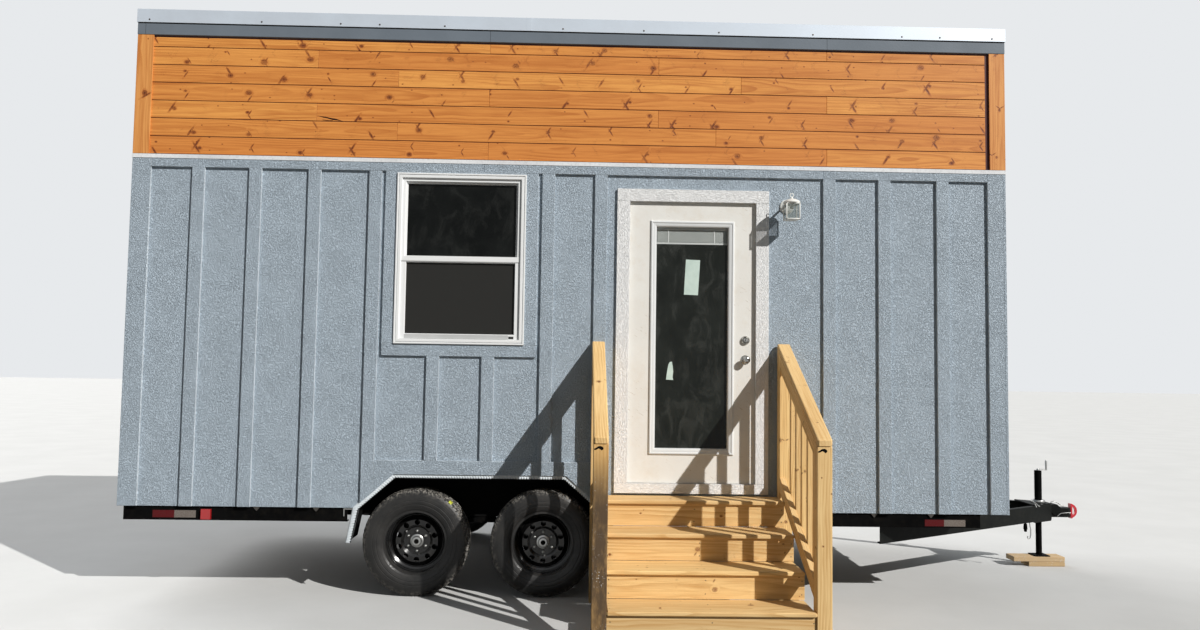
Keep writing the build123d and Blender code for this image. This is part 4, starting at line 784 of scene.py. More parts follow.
shapes = []
for out in (-1, 1):
    for x0 in (0, length - trim["corner"]):
        shape = onWall(out, x0, x0 + trim["corner"], foot, top)
        # The outer edges at the house's ends get no pale edge, the painted highlight
        fromMiddle = np.abs(shape["points"][:, :1] - length / 2)
        shape["edge"] = shape["edge"] * (fromMiddle < length / 2 - trim["sharp"])
        shapes.append(shape)
    cuts = [trim["corner"], *trim["friezeJoints"], length - trim["corner"]]
    for x0, x1, gap in zip(cuts[:-1], cuts[1:], (0, 1, 1)):
        shapes.append(onWall(out, x0 + gap, x1, frieze, top, False))
    shapes += batten(out, trim["both"] + trim["front" if out < 0 else "back"], foot, frieze)
    shapes += batten(out, trim["archEnds"], archEdge, frieze)
    shapes += batten(out, [trim["archPost"]], trim["archBoard"], frieze)
    left, end = trim["archEnds"][0] + half, trim["archEnds"][1] - half
    first, marks = (left, 1) if out < 0 else (end, -1)
    marks = [left, trim["middle"] - trim["halfTop"], trim["middle"] + trim["halfTop"], end][::marks]
    lows = [(abs(x - first), archEdge(x) - base) for x in marks]
    stations = [(low, (low[0], trim["archBoard"] - base)) for low in lows]
    wall = 0 if out < 0 else width
    shapes.append(board((first, wall, base), (-out, 0, 0), up, stations, thick, ease))
    shapes += batten(out, trim["short"], trim["archBoard"], trim["shortTop"])
    a, b, c, d = trim["surround"]
    shapes.append(onWall(out, a, d, trim["shortTop"], trim["sill"], False))
    shapes.append(onWall(out, a, b, trim["sill"], frieze))
    shapes.append(onWall(out, c, d, trim["sill"], frieze))
    shapes.append(onWall(out, b, c, trim["head"], frieze, False))
for out, wall in ((-1, 0), (1, length)):
    inner = trim["endCorner"]
    spans = [(-thick, inner, top), (width - inner, width + thick, top)]
    spans += [(y - half, y + half, frieze) for y in trim["end"]]
    for y0, y1, z1 in spans:
        first = y0 if out < 0 else y1
        shape = plank((wall, first, foot), up, (0, -out, 0), z1 - foot, y1 - y0, thick, ease)
        shape["edge"] = shape["edge"] * (z1 < top)
        shapes.append(shape)
    first = width - inner if out < 0 else inner
    size = (width - 2 * inner, top - frieze, thick)
    shapes.append(plank((wall, first, frieze), (0, out, 0), up, *size, ease))
battens = ("front_battens", "back_battens", "end_battens")
makePiece("trimBoards", shapes, "trimPaint", replaced=battens)
print("trim done")

# Roof edge: metal trim over a fascia, with its seams, a lap and screws, and a dark strip under the trim as
# painted shadow
roofLine = {
    "seams": (35, 2480, 4911), "seamHalf": 0.9, "seam": ((-22.3, -21.5), (3931, 4016)),
    "trimShadow": ((-18, 6206), (-22.6, -21.5), (4008, 4017)),
    "lap": ((2735, 2775), (-27.7, -26.6), (4017, 4111.5)),
    "screws": (61, 852, 1412, 1689, 2153, 3000, 3582, 4124, 4807, 5456, 5734, 6116),
    "screw": [(0, 6.5), (0.8, 6.5), (1.2, 4.2), (4.0, 3.8), (4.6, 2.0)], "screwAt": (-27, 4036),
}
easedCopy("fasciaBoards", "fascia", "fasciaPaint", 2.0)
easedCopy("roofEdge", "roof_trim", "roofMetal", 1.5)
half = roofLine["seamHalf"]
shapes = [box((x - half, x + half), *roofLine["seam"], 0.2) for x in roofLine["seams"]]
# A near-black strip under the roof trim: painted shadow of the trim
shapes.append(box(*roofLine["trimShadow"], 0.2))
makePiece("fasciaSeamsAndShadow", shapes, "darkGap")
makePiece("trimLap", [box(*roofLine["lap"], 0.3)], "roofMetal")
shapes = [turned((x, *roofLine["screwAt"]), toFront, roofLine["screw"], 8) for x in roofLine["screws"]]
makePiece("trimScrews", shapes, "nailHead")
print("roof edge done")

# Stairs: treads with round noses, risers, sloped rails with upright cuts, posts and balusters
stairs = {
    "left": 3332, "width": 1222, "top": 723, "rise": 172, "run": 279, "nose": 263, "tread": 27, "lap": 20,
    "riser": 20, "steps": 4, "post": 89, "cap": 38, "rail": 38, "capAtWall": 1776, "wallAt": -60, "sub": 89,
    "front": -1100, "back": -19, "overhang": 6, "balusters": 5, "slopeShare": 0.89, "bottomRise": 60,
    "ground": 12, "roundEdge": (0, 22, 45, 68, 90),
    "nail": [(-2, 3.6), (0.3, 3.6), (0.7, 2.2)], "nailIn": 19, "nailRows": (0.22, 0.78), "nailRun": (30, 190),
}
pitch = stairs["slopeShare"] * stairs["rise"] / stairs["run"]
lean = math.hypot(1, pitch)
left, right = stairs["left"], stairs["left"] + stairs["width"]
back, post, rail = stairs["back"], stairs["post"], stairs["rail"]


def capTop(y):
    return stairs["capAtWall"] + pitch * (y - stairs["wallAt"])


steps, nails = [], []
for index in range(stairs["steps"]):
    level = stairs["top"] - index * stairs["rise"]
    under = level - stairs["tread"]
    nose = -(stairs["nose"] + index * stairs["run"])
    face = nose + stairs["lap"]
    deep = (back if index == 0 else face + stairs["run"]) - nose
    low = stairs["ground"] if index == stairs["steps"] - 1 else level - stairs["rise"]
    stations = slanted((0, 0), (stairs["width"], stairs["width"]), deep)
    origin, rounded = (left, nose, under), stairs["roundEdge"]
    steps.append(board(origin, toRight, toBack, stations, stairs["tread"], 8.0, turns=rounded))
    size = (stairs["width"], under - low, stairs["riser"])
    steps.append(plank((left, face + stairs["riser"], low), toRight, up, *size, 1.5))
    for x in (left + stairs["nailIn"], (left + right) / 2, right - stairs["nailIn"]):
        for share in stairs["nailRows"]:
            spot = (x + 3 * share, face, low + share * (under - low))
            nails.append(turned(spot, toFront, stairs["nail"], 8))
            y = nose + stairs["nailRun"][0] + share * stairs["nailRun"][1]
            nails.append(turned((x - 2 * share, y, level), up, stairs["nail"], 8))
makePiece("stepBoards", steps, "pine", replaced=("stair_treads", "stair_risers"))


# A board along the slope of the rail, with upright cuts at both ends
def slopedBoard(x, y0, y1, drop, deep, thick, ease, turns=(0, 45, 90)):
    far = (y1 - y0) * lean
    stations = [((t, 0), (t + deep * pitch, deep)) for t in (0, far)]
    origin = (x, y0, capTop(y0) - drop - deep * lean)
    return board(origin, (0, 1, pitch), (0, -pitch, 1), stations, thick, ease, turns=turns)


# A square upright from the ground or from drop under the cap's top, up to the cap's low face
def upright(x, y0, wide, drop, ease):
    tops = [capTop(y) - capDrop for y in (y0, y0 + wide)]
    feet = [0, 0] if drop is None else [capTop(y) - drop for y in (y0, y0 + wide)]
    return board((x + wide, y0, 0), up, toBack, slanted(feet, tops, wide), wide, ease)


# A ragged near-black plate where the old post meets its rail, painted shade in the gap, as (x, z) from the
# post's left edge
jag = [
    (3, 1136), (14, 1142), (27, 1151), (40, 1153), (52, 1149), (59, 1141), (57, 1133),
    (48, 1127), (40, 1133), (30, 1139), (20, 1133), (10, 1129), (4, 1131),
]
rails, newPosts, oldPosts, gaps = [], [], [], []
capDrop, subDrop = stairs["cap"] * lean, stairs["sub"] * lean
bottomDrop = capTop(-stairs["nose"]) - stairs["top"] - stairs["bottomRise"]
firstPost = stairs["front"] + stairs["overhang"]
inner = (firstPost + post, back - post)
spacing = (inner[1] - inner[0]) / (stairs["balusters"] + 1)
for x in (left - post, right):
    railX, outX = (x + post - rail, x + post - 2 * rail) if x < left else (x, x + rail)
    rails.append(slopedBoard(x, stairs["front"], back, 0, stairs["cap"], post, 10.0, stairs["roundEdge"]))
    rails += [slopedBoard(railX, *inner, drop, stairs["sub"], rail, 3.0) for drop in (capDrop, bottomDrop)]
    for y0 in (firstPost, back - post):
        group = oldPosts if x < left and y0 == firstPost else newPosts
        group.append(upright(x, y0, post, None, 4.5))
    gaps.append(plate([(x + px, pz) for px, pz in jag], firstPost + 1, firstPost - 0.5))
    for index in range(stairs["balusters"]):
        y0 = inner[0] + spacing * (index + 1) - rail / 2
        rails.append(upright(outX, y0, rail, bottomDrop + subDrop - 8, 3.0))
makePiece("stairRailing", rails, "pine", replaced=("stair_rails", "stair_balusters"))
makePiece("stairPosts", newPosts, "pine", replaced=("stair_posts",))
makePiece("weatheredPost", oldPosts, "oldPine")
makePiece("postGaps", gaps, "darkGap")
makePiece("stepNails", nails, "nailHead")
print("stairs done")

# Door: casing, glazed insert with a raised blind and papers in it, and hardware
casing = {"x": (3408, 3500, 4402, 4494), "foot": 736, "sillTop": 805, "head": 2799, "top": 2888, "thick": 19}
x0, x1, x2, x3 = casing["x"]
sill, head, foot, thick = casing["sillTop"], casing["head"], casing["foot"], casing["thick"]
shapes = [
    plank((x1, 0, sill + 1), up, toLeft, head - sill - 2, x1 - x0, thick),
    plank((x3, 0, sill + 1), up, toLeft, head - sill - 2, x3 - x2, thick),
    plank((x0, 0, head), toRight, up, x3 - x0, casing["top"] - head, thick),
    plank((x0, 0, foot), toRight, up, x3 - x0, sill - foot, thick),
]
makePiece("doorCasing", shapes, "trimBoard", replaced=("door_casing",))

lite = {
    "edges": (3649.5, 4249.5, 1005, 2665), "faces": ((8, -1), (52.5, 1)),
    "profile": [
        (0, 0), (0, 5), (1.5, 8), (4, 10.5), (8, 12), (13, 12), (17, 9.5), (20, 7.5), (24, 8), (34, 6.5),
        (40, 4.0), (43, 0.5), (44, -6), (45, -18), (20, -18), (20, 0),
    ],
}
shapes = [mitredFrame(*lite["edges"], lite["profile"], face, out) for face, out in lite["faces"]]
makePiece("doorLiteFrame", shapes, "liteFrame", "door", ("door_lite_frame",))

blind = {"x": (3697, 4202), "y": (36.5, 49.5), "top": 2619, "slats": 17, "pitch": 5.0, "cords": (3780, 4110)}
(x0, x1), (y0, y1), top = blind["x"], blind["y"], blind["top"]
slatTops = [top - 18 - index * blind["pitch"] for index in range(blind["slats"])]
slats = [box((x0 + 2, x1 - 2), (y0 + 1, y1), (z - 4.0, z), 0.8) for z in slatTops]
bars = [box((x0, x1), (y0, y1), (top - low, top - high), 1.5) for low, high in ((15, 0), (118, 105))]
bars += [box((x - 4, x + 4), (y0 - 0.9, y0 - 0.1), (top - 104, top - 12), 0.3) for x in blind["cords"]]
makePiece("blindSlats", slats, "blindGrey", "door", ("door_blind",))
makePiece("blindRails", bars, "blind", "door")
sheet = [(3893, 2139), (3994, 2136), (4008, 2388), (3906, 2391)]
torn = [
    (3771, 1532), (3823, 1529), (3818, 1548), (3822, 1590), (3819, 1622), (3812, 1660),
    (3797, 1657), (3788, 1640), (3780, 1600),
]
makePiece("glassPapers", [plate(paper, 25.2, 25.8) for paper in (sheet, torn)], "paper", "door")

# Rosettes, bolt and knob on both faces of the door, each a profile outward from the face
hardware = {
    "x": 4332, "knobZ": 1679, "boltZ": 1818,
    "rosette": [(0, 33), (2, 33), (4, 31.5), (6.5, 28), (8.5, 26), (9, 20), (9, 13)],
    "bolt": [
        (0, 31), (4, 31), (9, 29.5), (14, 27), (16.5, 25), (17, 22.5), (14.5, 20.5),
        (13, 17), (14, 15.5), (17, 15),
    ],
    "knob": [
        (9, 12), (22, 12), (25, 12.6), (29, 17), (33, 22.5), (38, 26), (44, 27), (50, 26.6), (55, 24.5),
        (59, 20), (61.5, 13), (60, 11.5), (60, 3),
    ],
    "slots": ((1.6, -8, 8), (4, 1, 5)), "slotDepth": (16.6, 17.4),
}
plates, knobs, keyways = [], [], []
x, knobZ, boltZ = (hardware[key] for key in ("x", "knobZ", "boltZ"))
for face, out in lite["faces"]:
    for group, key, z in ((plates, "rosette", knobZ), (plates, "bolt", boltZ), (knobs, "knob", knobZ)):
        group.append(turned((x, face, z), (0, out, 0), hardware[key], 40))
    depths = sorted(face + out * deep for deep in hardware["slotDepth"])
    keyways += [box((x - w, x + w), depths, (boltZ + z0, boltZ + z1), 0.2) for w, z0, z1 in hardware["slots"]]
makePiece("doorRosettes", plates, "nickel", "door", ("door_lock",), True)
makePiece("turnedKnob", knobs, "nickel", "knob", ("door_knob",), True)
# The keyways are near-black plates: painted shade in the slots
makePiece("keyways", keyways, "darkGap", "door")
easedCopy("doorLeaf", "door_slab", "doorPaint", 2.0, "door")
print("door done")

# Lantern beside the door: wall plate, arm and ring, dome, a frame of bars, and panes
lantern = {
    "x": 4625, "y": -150, "low": 2660, "high": 2776, "half": 46, "bar": 7, "plateZ": 2780,
    "dome": [
        (0, 30), (-1, 56), (2, 60), (6, 61.5), (10, 60), (16, 54), (24, 44), (30, 31), (34, 18), (36, 10),
        (42, 8.5), (46, 7), (48, 4),
    ],
    "plate": [(0, 52), (4, 52), (8, 50), (11, 44), (13, 36), (17, 33), (19, 22), (20, 8)],
    "arm": [(-14, 2796), (-60, 2797), (-105, 2794), (-128, 2786)],
    "ring": 12.5, "ringZ": 2835.5, "socketDeep": 36,
    "socket": [(0, 8), (0, 14), (30, 15), (36, 15)], "cup": [(-1, 6), (0, 14), (5, 16), (8, 15)],
}
cx, cy, low, high = lantern["x"], lantern["y"], lantern["low"], lantern["high"]
reach, half = lantern["half"], lantern["bar"] / 2
turn = np.linspace(0, 2 * math.pi, 33)
ringZ = lantern["ringZ"] - lantern["ring"] * np.cos(turn)
ring = np.column_stack([cx + lantern["ring"] * np.sin(turn), np.full(33, cy), ringZ])
shapes = [
    turned((cx, cy, high), up, lantern["dome"], 40),
    turned((cx, 0, lantern["plateZ"]), toFront, lantern["plate"], 40),
    bentBar([(cx, *spot) for spot in lantern["arm"]], 8, 14),
    turned((cx, cy, high - lantern["socketDeep"]), up, lantern["socket"], 20),
    turned((cx, cy, low), up, lantern["cup"], 20),
    bentBar(ring, 3.0, 8),
    box((cx - reach, cx + reach), (cy - reach, cy + reach), (low + 1, low + 4), 0.5),
]
panes = []
for side in (-reach, reach):
    x, y, over = (cx + side - half, cx + side + half), (cy + side - half, cy + side + half), reach + half
    for z in ((low, low + 2 * half), (high - 2 * half, high)):
        shapes += [box((cx - over, cx + over), y, z, 1.5), box(x, (cy - reach, cy + reach), z, 1.5)]
    for other in (cy - reach, cy + reach):
        shapes.append(box(x, (other - half, other + half), (low, high), 1.5))
    z, inner = (low + 2 * half, high - 2 * half), reach - 3
    panes.append(box((cx - inner, cx + inner), (cy + side - 1, cy + side + 1), z, 0.2))
    panes.append(box((cx + side - 1, cx + side + 1), (cy - inner, cy + inner), z, 0.2))
makePiece("coachLantern", shapes, "lanternWhite", replaced=("lantern",), smooth=True)
makePiece("lanternPanes", panes, "lanternPane", replaced=("lantern_glass",))
print("lantern done")

# Windows: a moulded ring, the two sashes' beads, the meeting rail, and the gaps that read as dark
# lines. A box here is x from the left or right edge, depth out of the wall, z, ease.
window = {
    "x0": 1846, "x1": 2760, "z0": 1758, "z1": 2970, "rim": 34,
    "ring": [
        (0, 5), (0, 24), (2, 26), (10, 26), (12, 24), (12.5, 17), (14.5, 17), (15, 21.5), (17, 23.5),
        (33, 23.5), (36, 21), (36, -2),
    ],
    "frontLift": 5,
    "upperBead": [(0, -2), (0, 14), (23, 14), (25, 12), (38, -12), (38, -17), (4, -10)],
    "lowerBead": [(0, -2), (0, 13), (36, 13), (38, 11), (40, 4), (40, -8), (4, -8)],
}
easedCopy("windowCasings", "window_frames", "vinyl", 1.5)
x0, x1, z0, z1, rim = (window[key] for key in ("x0", "x1", "z0", "z1", "rim"))
middle = (z0 + z1) / 2
beads, strips, lines = [], [], []
for wallY, out in ((0, -1), (width, 1)):
    lift = window["frontLift"] if out < 0 else 0
    profile = [(w, d + lift * (d > 6)) for w, d in window["ring"]]
    beads.append(mitredFrame(x0, x1, z0, z1, profile, wallY, out))
    beads.append(mitredFrame(x0 + rim, x1 - rim, middle - 22, z1 - rim, window["upperBead"], wallY, out))
    beads.append(mitredFrame(x0 + rim, x1 - rim, z0 + rim, middle + 10, window["lowerBead"], wallY, out))
    for group, xs, depths, zs, ease in (
        (beads, (x0 + 30, x1 - 30), (16, -4), (middle - 19, middle + 17), 1.5),
        (strips, (x0 + 72, x1 - 110), (14, 0), (z0 + 38, z0 + 70), 1.5),
        (beads, (x0 + 8, x1 - 8), (11, 2), (z0 + 24, z0 + 34), 2.0),
        (lines, (x0 + 40, x1 - 40), (13.6, 12), (middle - 25, middle - 20), 0.5),
        (lines, (x0 + 36, x1 - 40), (13.6, 12), (z0 + 33.5, z0 + 37.5), 0.5),
        (lines, (x1 - 109, x1 - 73), (13.6, 12), (z0 + 42, z0 + 60), 0.5),
    ):
        group.append(box(xs, sorted(wallY + out * depth for depth in depths), zs, ease))
makePiece("windowBeads", beads, "vinyl")
makePiece("sashGaps", lines, "sashShade")
makePiece("sashStrips", strips, "sashGrey")
print("windows done")

# Wheels. The tyre's half outline is (distance in from the outer face, radius).
wheel = {
    "x": {"rear": 2029.5, "front": 2918.5}, "hub": 372, "face": 108, "tread": 228, "pitches": 60,
    "perPitch": 6, "grooves": (-58, -20, 20, 58), "grooveDepth": 8.0, "nutCircle": 70,
    "slotSlant": 42, "slotWave": 14, "slotWide": 0.28, "shoulder": 62, "rib": 56, "ribShare": 0.55,
    "treadHalf": 98, "treadFrom": 350, "dustFrom": 338, "dustFade": 22,
}
tyreProfile = np.array([
    (19, 210), (19, 223), (11, 234), (5, 250), (2, 262), (3.2, 266), (1.6, 270), (0, 280), (0, 290),
    (1.5, 294), (0.6, 298), (2, 312), (5, 326), (10, 342), (15, 352), (19, 359), (25, 364), (34, 368),
    (46, 370), (62, 371), (80, 371.6), (98, 372), (114, 372),
])


# The distance along a line of points, from its start to each of them
def runAlong(line):
    return np.concatenate([[0], np.cumsum(np.hypot(*np.diff(line, axis=0).T))])


# Points on a line at the given distances along it, or at those of another line
def pointsAt(line, where, run):
    return np.column_stack([np.interp(where, run, line[:, 0]), np.interp(where, run, line[:, 1])])


# The tyre is its half outline mirrored and spun. In the tread, grooves run round at set places
# and slots cross between them, slanting one way and then the other.
def tyreShape(x, outer, inward):
    run = runAlong(tyreProfile)
    fine = np.unique(np.concatenate([run[:13], np.linspace(run[13], run[-1], 24)]))
    near = pointsAt(tyreProfile, fine, run)
    far = near[-2::-1] * [-1, 1] + [wheel["tread"], 0]
    t, r = np.concatenate([near, far]).T[:, :, None]
    count = wheel["pitches"] * wheel["perPitch"]
    angle = np.arange(count) * 2 * math.pi / count
    off = t - wheel["tread"] / 2
    slant = np.abs(off) / wheel["slotSlant"] * np.sign(np.sin(off / wheel["slotWave"]))
    phase = angle * wheel["pitches"] / (2 * math.pi) + slant
    slot = np.abs((phase % 1) - 0.5) > (1 - wheel["slotWide"]) / 2
    groove = np.max([np.clip(1.6 - np.abs(off - centre) / 5, 0, 1) for centre in wheel["grooves"]], axis=0)
    shoulder = np.clip((np.abs(off) - wheel["shoulder"]) / 8, 0, 1)
    cross = slot * np.clip(shoulder + wheel["ribShare"] * (np.abs(off) < wheel["rib"]), 0, 1)
    treadPart = (np.abs(off) < wheel["treadHalf"]) & (r > wheel["treadFrom"])
    radius = r - wheel["grooveDepth"] * np.maximum(groove, cross) * treadPart
    depth = np.broadcast_to(outer + inward * t, radius.shape)
    points = np.stack([x + radius * np.cos(angle), depth, wheel["hub"] + radius * np.sin(angle)], -1)
    dust = np.clip((radius - wheel["dustFrom"]) / wheel["dustFade"], 0.02, 1)
    return solid(points, True, dust=dust.reshape(-1, 1))


# Profiles of the hub cap, its dark plug and a nut: distance out from the disc, radius
hubProfiles = {
    "cap": [(8, 47.5), (15, 47), (17, 45), (19, 36), (30, 34.5), (36, 30), (37.5, 22), (37.5, 17)],
    "plug": [(40, 3), (40, 14), (38.5, 17), (34, 17.5)],
    "nut": [(22, 3), (21, 6), (17, 9.5), (15, 11), (-1, 11.5), (-1, 4)],
}


def onDisc(x, z, outer, inward, key, count):
    profile = [(wheel["face"] - out, radius) for out, radius in hubProfiles[key]]
    return turned((x, outer, z), (0, inward, 0), profile, count)


# Hub cap, and six hexagon nuts on a circle round it
def hubShapes(x, outer, inward):
    shapes = [onDisc(x, wheel["hub"], outer, inward, "cap", 36)]
    for angle in (np.arange(6) + 0.5) * math.pi / 3:
        nutX = x + wheel["nutCircle"] * math.cos(angle)
        nutZ = wheel["hub"] + wheel["nutCircle"] * math.sin(angle)
        shapes.append(onDisc(nutX, nutZ, outer, inward, "nut", 6))
    return shapes


# Rolled ridges on the rim, from its flange in to the disc
def rimRidges(x, outer, inward):
    shapes = []
    around = np.linspace(0, 2 * math.pi, 9)[:-1]
    for radius, deep, thick in ((214, 57.5, 3.0), (203, 74, 2.6), (197, 92, 2.4), (182, 116, 2.6)):
        profile = np.column_stack([deep + thick * np.cos(around), radius + thick * np.sin(around)])
        shapes.append(turned((x, outer, wheel["hub"]), (0, inward, 0), profile, 72, True))
    return shapes


# A dab of marking paint on the tread, laid a hair over the rubber
def treadMark(x, outer):
    t = np.array([20, 24, 30, 38, 46, 54, 60.0])
    r = np.interp(t, *tyreProfile[15:].T) + 1.0
    loopT, loopR = np.concatenate([t, t[::-1]]), np.concatenate([r, r[::-1] - 3.0])
    angle = np.radians(np.linspace(47.5, 51.5, 7))[:, None]
    depth = np.broadcast_to(outer + loopT, (7, 14))
    return solid(np.stack([x + loopR * np.cos(angle), depth, wheel["hub"] + loopR * np.sin(angle)], -1))


makePiece("treadMark", [treadMark(wheel["x"]["rear"], 0)], "markPaint", "wheel_right_rear")
for side, (outer, inward) in {"right": (0, 1), "left": (width, -1)}.items():
    for end, x in wheel["x"].items():
        body, label = f"wheel_{side}_{end}", side.capitalize() + end.capitalize()
        tyre, plug = tyreShape(x, outer, inward), onDisc(x, wheel["hub"], outer, inward, "plug", 24)
        makePiece("tyre" + label, [tyre], "rubber", body, (f"tyre_{side}_{end}",))
        makePiece("hub" + label, hubShapes(x, outer, inward), "zinc", body, smooth=True)
        makePiece("ridges" + label, rimRidges(x, outer, inward), "wheelBlack", body, smooth=True)
        makePiece("plug" + label, [plug], "darkGap", body)
print("wheels done")

# Edge of the wheel arches. share is how far each corner of the half outline moves in x and z
# for each millimetre in from the edge.
arch = {
    "middle": 2474, "half": [(914, 373), (870, 612), (601, 848)],
    "share": [(1.02, 0), (1.15, 0.36), (0.45, 1)],
    "lip": 30, "over": 8, "proud": 8, "ribs": 19.0, "slant": 22,
}


def archLine(depth):
    half = [(x - u * depth, z - v * depth) for (x, z), (u, v) in zip(arch["half"], arch["share"])]
    line = [(-x, z) for x, z in half] + half[::-1]
    return np.array(line) + [arch["middle"], 0]


# The edge strip: a rounded rib section carried round the arch, cut by slanting notches
def edgeStrip(wallY, out):
    outerLine = archLine(-arch["over"])
    run = runAlong(outerLine)
    s = np.linspace(0, run[-1], 1100)
    edge, inside = pointsAt(outerLine, s, run), pointsAt(archLine(arch["lip"]), s, run)
    across = np.linspace(0.0, 1.0, 9)
    flat = edge[:, None] + (inside - edge)[:, None] * across[None, :, None]
    turn = ((s[:, None] - across * arch["slant"]) / arch["ribs"]) % 1
    ends = np.clip((across - 0.10) * 4, 0, 1) * np.clip((0.92 - across) * 8, 0, 1)
    notch = np.clip(1 - np.abs(turn - 0.5) / 0.3, 0, 1) * ends
    crown = np.sqrt(np.clip(1 - (2 * across - 1) ** 2, 0, 1))
    proud = arch["proud"] * (0.1 + 0.9 * crown) + 2.2 - 2.4 * notch * crown
    front = np.stack([flat[..., 0], wallY + out * proud, flat[..., 1]], -1)
    behind = np.stack([flat[..., 0], np.full(proud.shape, wallY - out * 1.0), flat[..., 1]], -1)
    return solid(np.concatenate([front, behind[:, ::-1]], axis=1))


makePiece("archEdges", [edgeStrip(0, -1), edgeStrip(width, 1)], "edgePaint")
print("arches done")

# Small things on the trailer frame. A length of tape is its two ends, and its seed tells the colour.
frameBits = {
    "tapes": [
        ((215, 364), (531, 581), 0.2), ((364, 511), (531, 581), 0.8),
        ((5614, 5751), (524, 570), 0.2), ((5751, 5903), (524, 570), 0.8),
    ],
    "bracket": [((1530, 1596), (4, 20), (598, 606)), ((1530, 1537), (4, 20), (552, 600))],
    "clips": (930, 1340, 5251, 5655), "clip": [(-27, 613), (27, 613), (2, 584), (-2, 584)],
}
shapes = []
for y in ((12.4, 13.8), (width - 13.8, width - 12.4)):
    shapes += [box(xs, y, zs, 0.3, seed) for xs, zs, seed in frameBits["tapes"]]
makePiece("reflectiveTape", shapes, "tape")
makePiece("sideBracket", [box(*sides) for sides in frameBits["bracket"]], "zinc")
shapes = []
for x in frameBits["clips"]:
    shapes += [plate([(x + px, pz) for px, pz in frameBits["clip"]], y - 2, y + 2) for y in (6, width - 6)]
makePiece("floorClips", shapes, "clipPlate")
easedCopy("frameRails", "frame_rails", "frameBlackShaded", 2.0)
print("trailer frame done")

# Tongue, coupler and jack. Bars are bent through points given from the jack's axis in x and y.
hitch = {
    "x": 7073, "y": 1268,
    "flange": [
        (525, 34.6), (525, 56), (528, 58), (533, 58), (535, 56), (535, 52), (542, 52), (545, 50), (546, 46),
        (546, 34.6),
    ],
    "latch": [(99, 0, 516), (111, 0, 528), (135, 0, 533), (163, 0, 522), (189, 0, 504), (217, 0, 496)],
    "lever": [(133, -52, 414), (149, -52, 430), (167, -52, 441), (207, -53, 446), (249, -50, 446)],
    "chainLink": [(-105, -176, 505), (-113, -168, 528), (-123, -160, 545), (-129, -156, 560)],
    "chainTail": [(-133, -188, 548), (-111, -172, 540), (-88, -162, 520), (-70, -158, 511)],
    "hook": [
        (-182, -206, 393), (-180, -208, 362), (-173, -209, 330), (-174, -209, 288), (-180, -209, 262),
        (-191, -209, 252), (-200, -209, 261), (-199, -209, 276),
    ],
    "plugAt": (-223, -220, 394),
    "plug": [(0, 7), (14, 8), (20, 14), (52, 16), (60, 15), (64, 12), (78, 11), (81, 6)],
    "weld": [
        (12, -96, 511), (27, -88, 492), (49, -74, 472), (77, -57, 450), (105, -49, 430), (123, -48.5, 412),
    ],
    "crankCap": [(0, 11), (10, 11), (14, 9), (15, 4)],
    "crankArm": [(0, 0, 803), (20, 0, 803), (48, 0, 799), (72, 0, 797)],
    "crankGrip": [(0, 6), (0, 8), (8, 8), (9, 7), (30, 7.5), (60, 8.5), (78, 9), (84, 7), (86, 3)],
}
jack = np.array([hitch["x"], hitch["y"], 0.0])
easedCopy("tongueBeams", "tongue", "tongueShadedPaint", 2.5)
easedCopy("couplerBody", "coupler", "tongueShadedPaint", 3.0)
shapes = [turned(jack, up, hitch["flange"], 40, True)]
for key, radius, count, flat in (("latch", 6, 10, 0.6), ("lever", 6, 10, 0.6), ("chainLink", 5, 8, 1.0),
                                 ("chainTail", 5, 8, 1.0), ("hook", 4.5, 8, 1.0)):
    shapes.append(bentBar(jack + hitch[key], radius, count, flat))
makePiece("hitchFittings", shapes, "zinc", smooth=True)
plug = turned(jack + hitch["plugAt"], down, hitch["plug"], 20)
makePiece("lightPlug", [plug], "frameBlackShaded", smooth=True)
makePiece("noseWeld", [bentBar(jack + hitch["weld"], 3.2, 8)], "darkGap", smooth=True)
shapes = [
    turned(jack + (0, 0, 792.3), up, hitch["crankCap"], 20),
    bentBar(jack + hitch["crankArm"], 8, 12, 0.5),
    turned(jack + (72, 0, 793), up, hitch["crankGrip"], 16),
]
makePiece("crankHandle", shapes, "zinc", "jack_crank", ("jack_crank",), True)

# Two boards under the jack: length, how far the middle is from the jack's, low and high face
blocks = {"wide": 140, "boards": [(306, 31, 0, 39.6), (434, -33, 40, 80)]}
shapes = []
for long, shift, z0, z1 in blocks["boards"]:
    first = (hitch["x"] + shift - long / 2, hitch["y"] - blocks["wide"] / 2, z0)
    shapes.append(plank(first, toRight, toBack, long, blocks["wide"], z1 - z0, 3.0))
makePiece("jackTimbers", shapes, "blockWood", replaced=("jack_blocks",))
print("hitch done")

# Finishes of the nodes that stay
nodeFinish = {
    "siding": ["front_wall_left", "front_wall_right", "front_wall_header", "back_wall", "end_walls"],
    "flashing": ["belt_flashing"], "roofPanel": ["roof_sheets"], "stringerPine": ["stair_stringers"],
    "deckSheet": ["roof_deck", "floor"], "vinyl": ["door_frame"], "windowPane": ["window_glass"],
    "screen": ["window_screens"], "doorPane": ["door_glass"], "nickel": ["door_hinges"],
    "frameBlackShaded": ["cross_members", "axles", "leaf_springs", "spring_hangers", "jack_tube", "jack_leg"],
    "wheelBlack": [f"wheel_{side}_{end}" for side in ("right", "left") for end in ("rear", "front")],
    "arch": ["wheel_boxes"], "lensRed": ["side_lamps"], "lockRed": ["coupler_lock"],
}
for name, group in nodeFinish.items():
    for label in group:
        nodes[label].data.materials.clear()
        nodes[label].data.materials.append(finishes[name])
print("nodes finished")

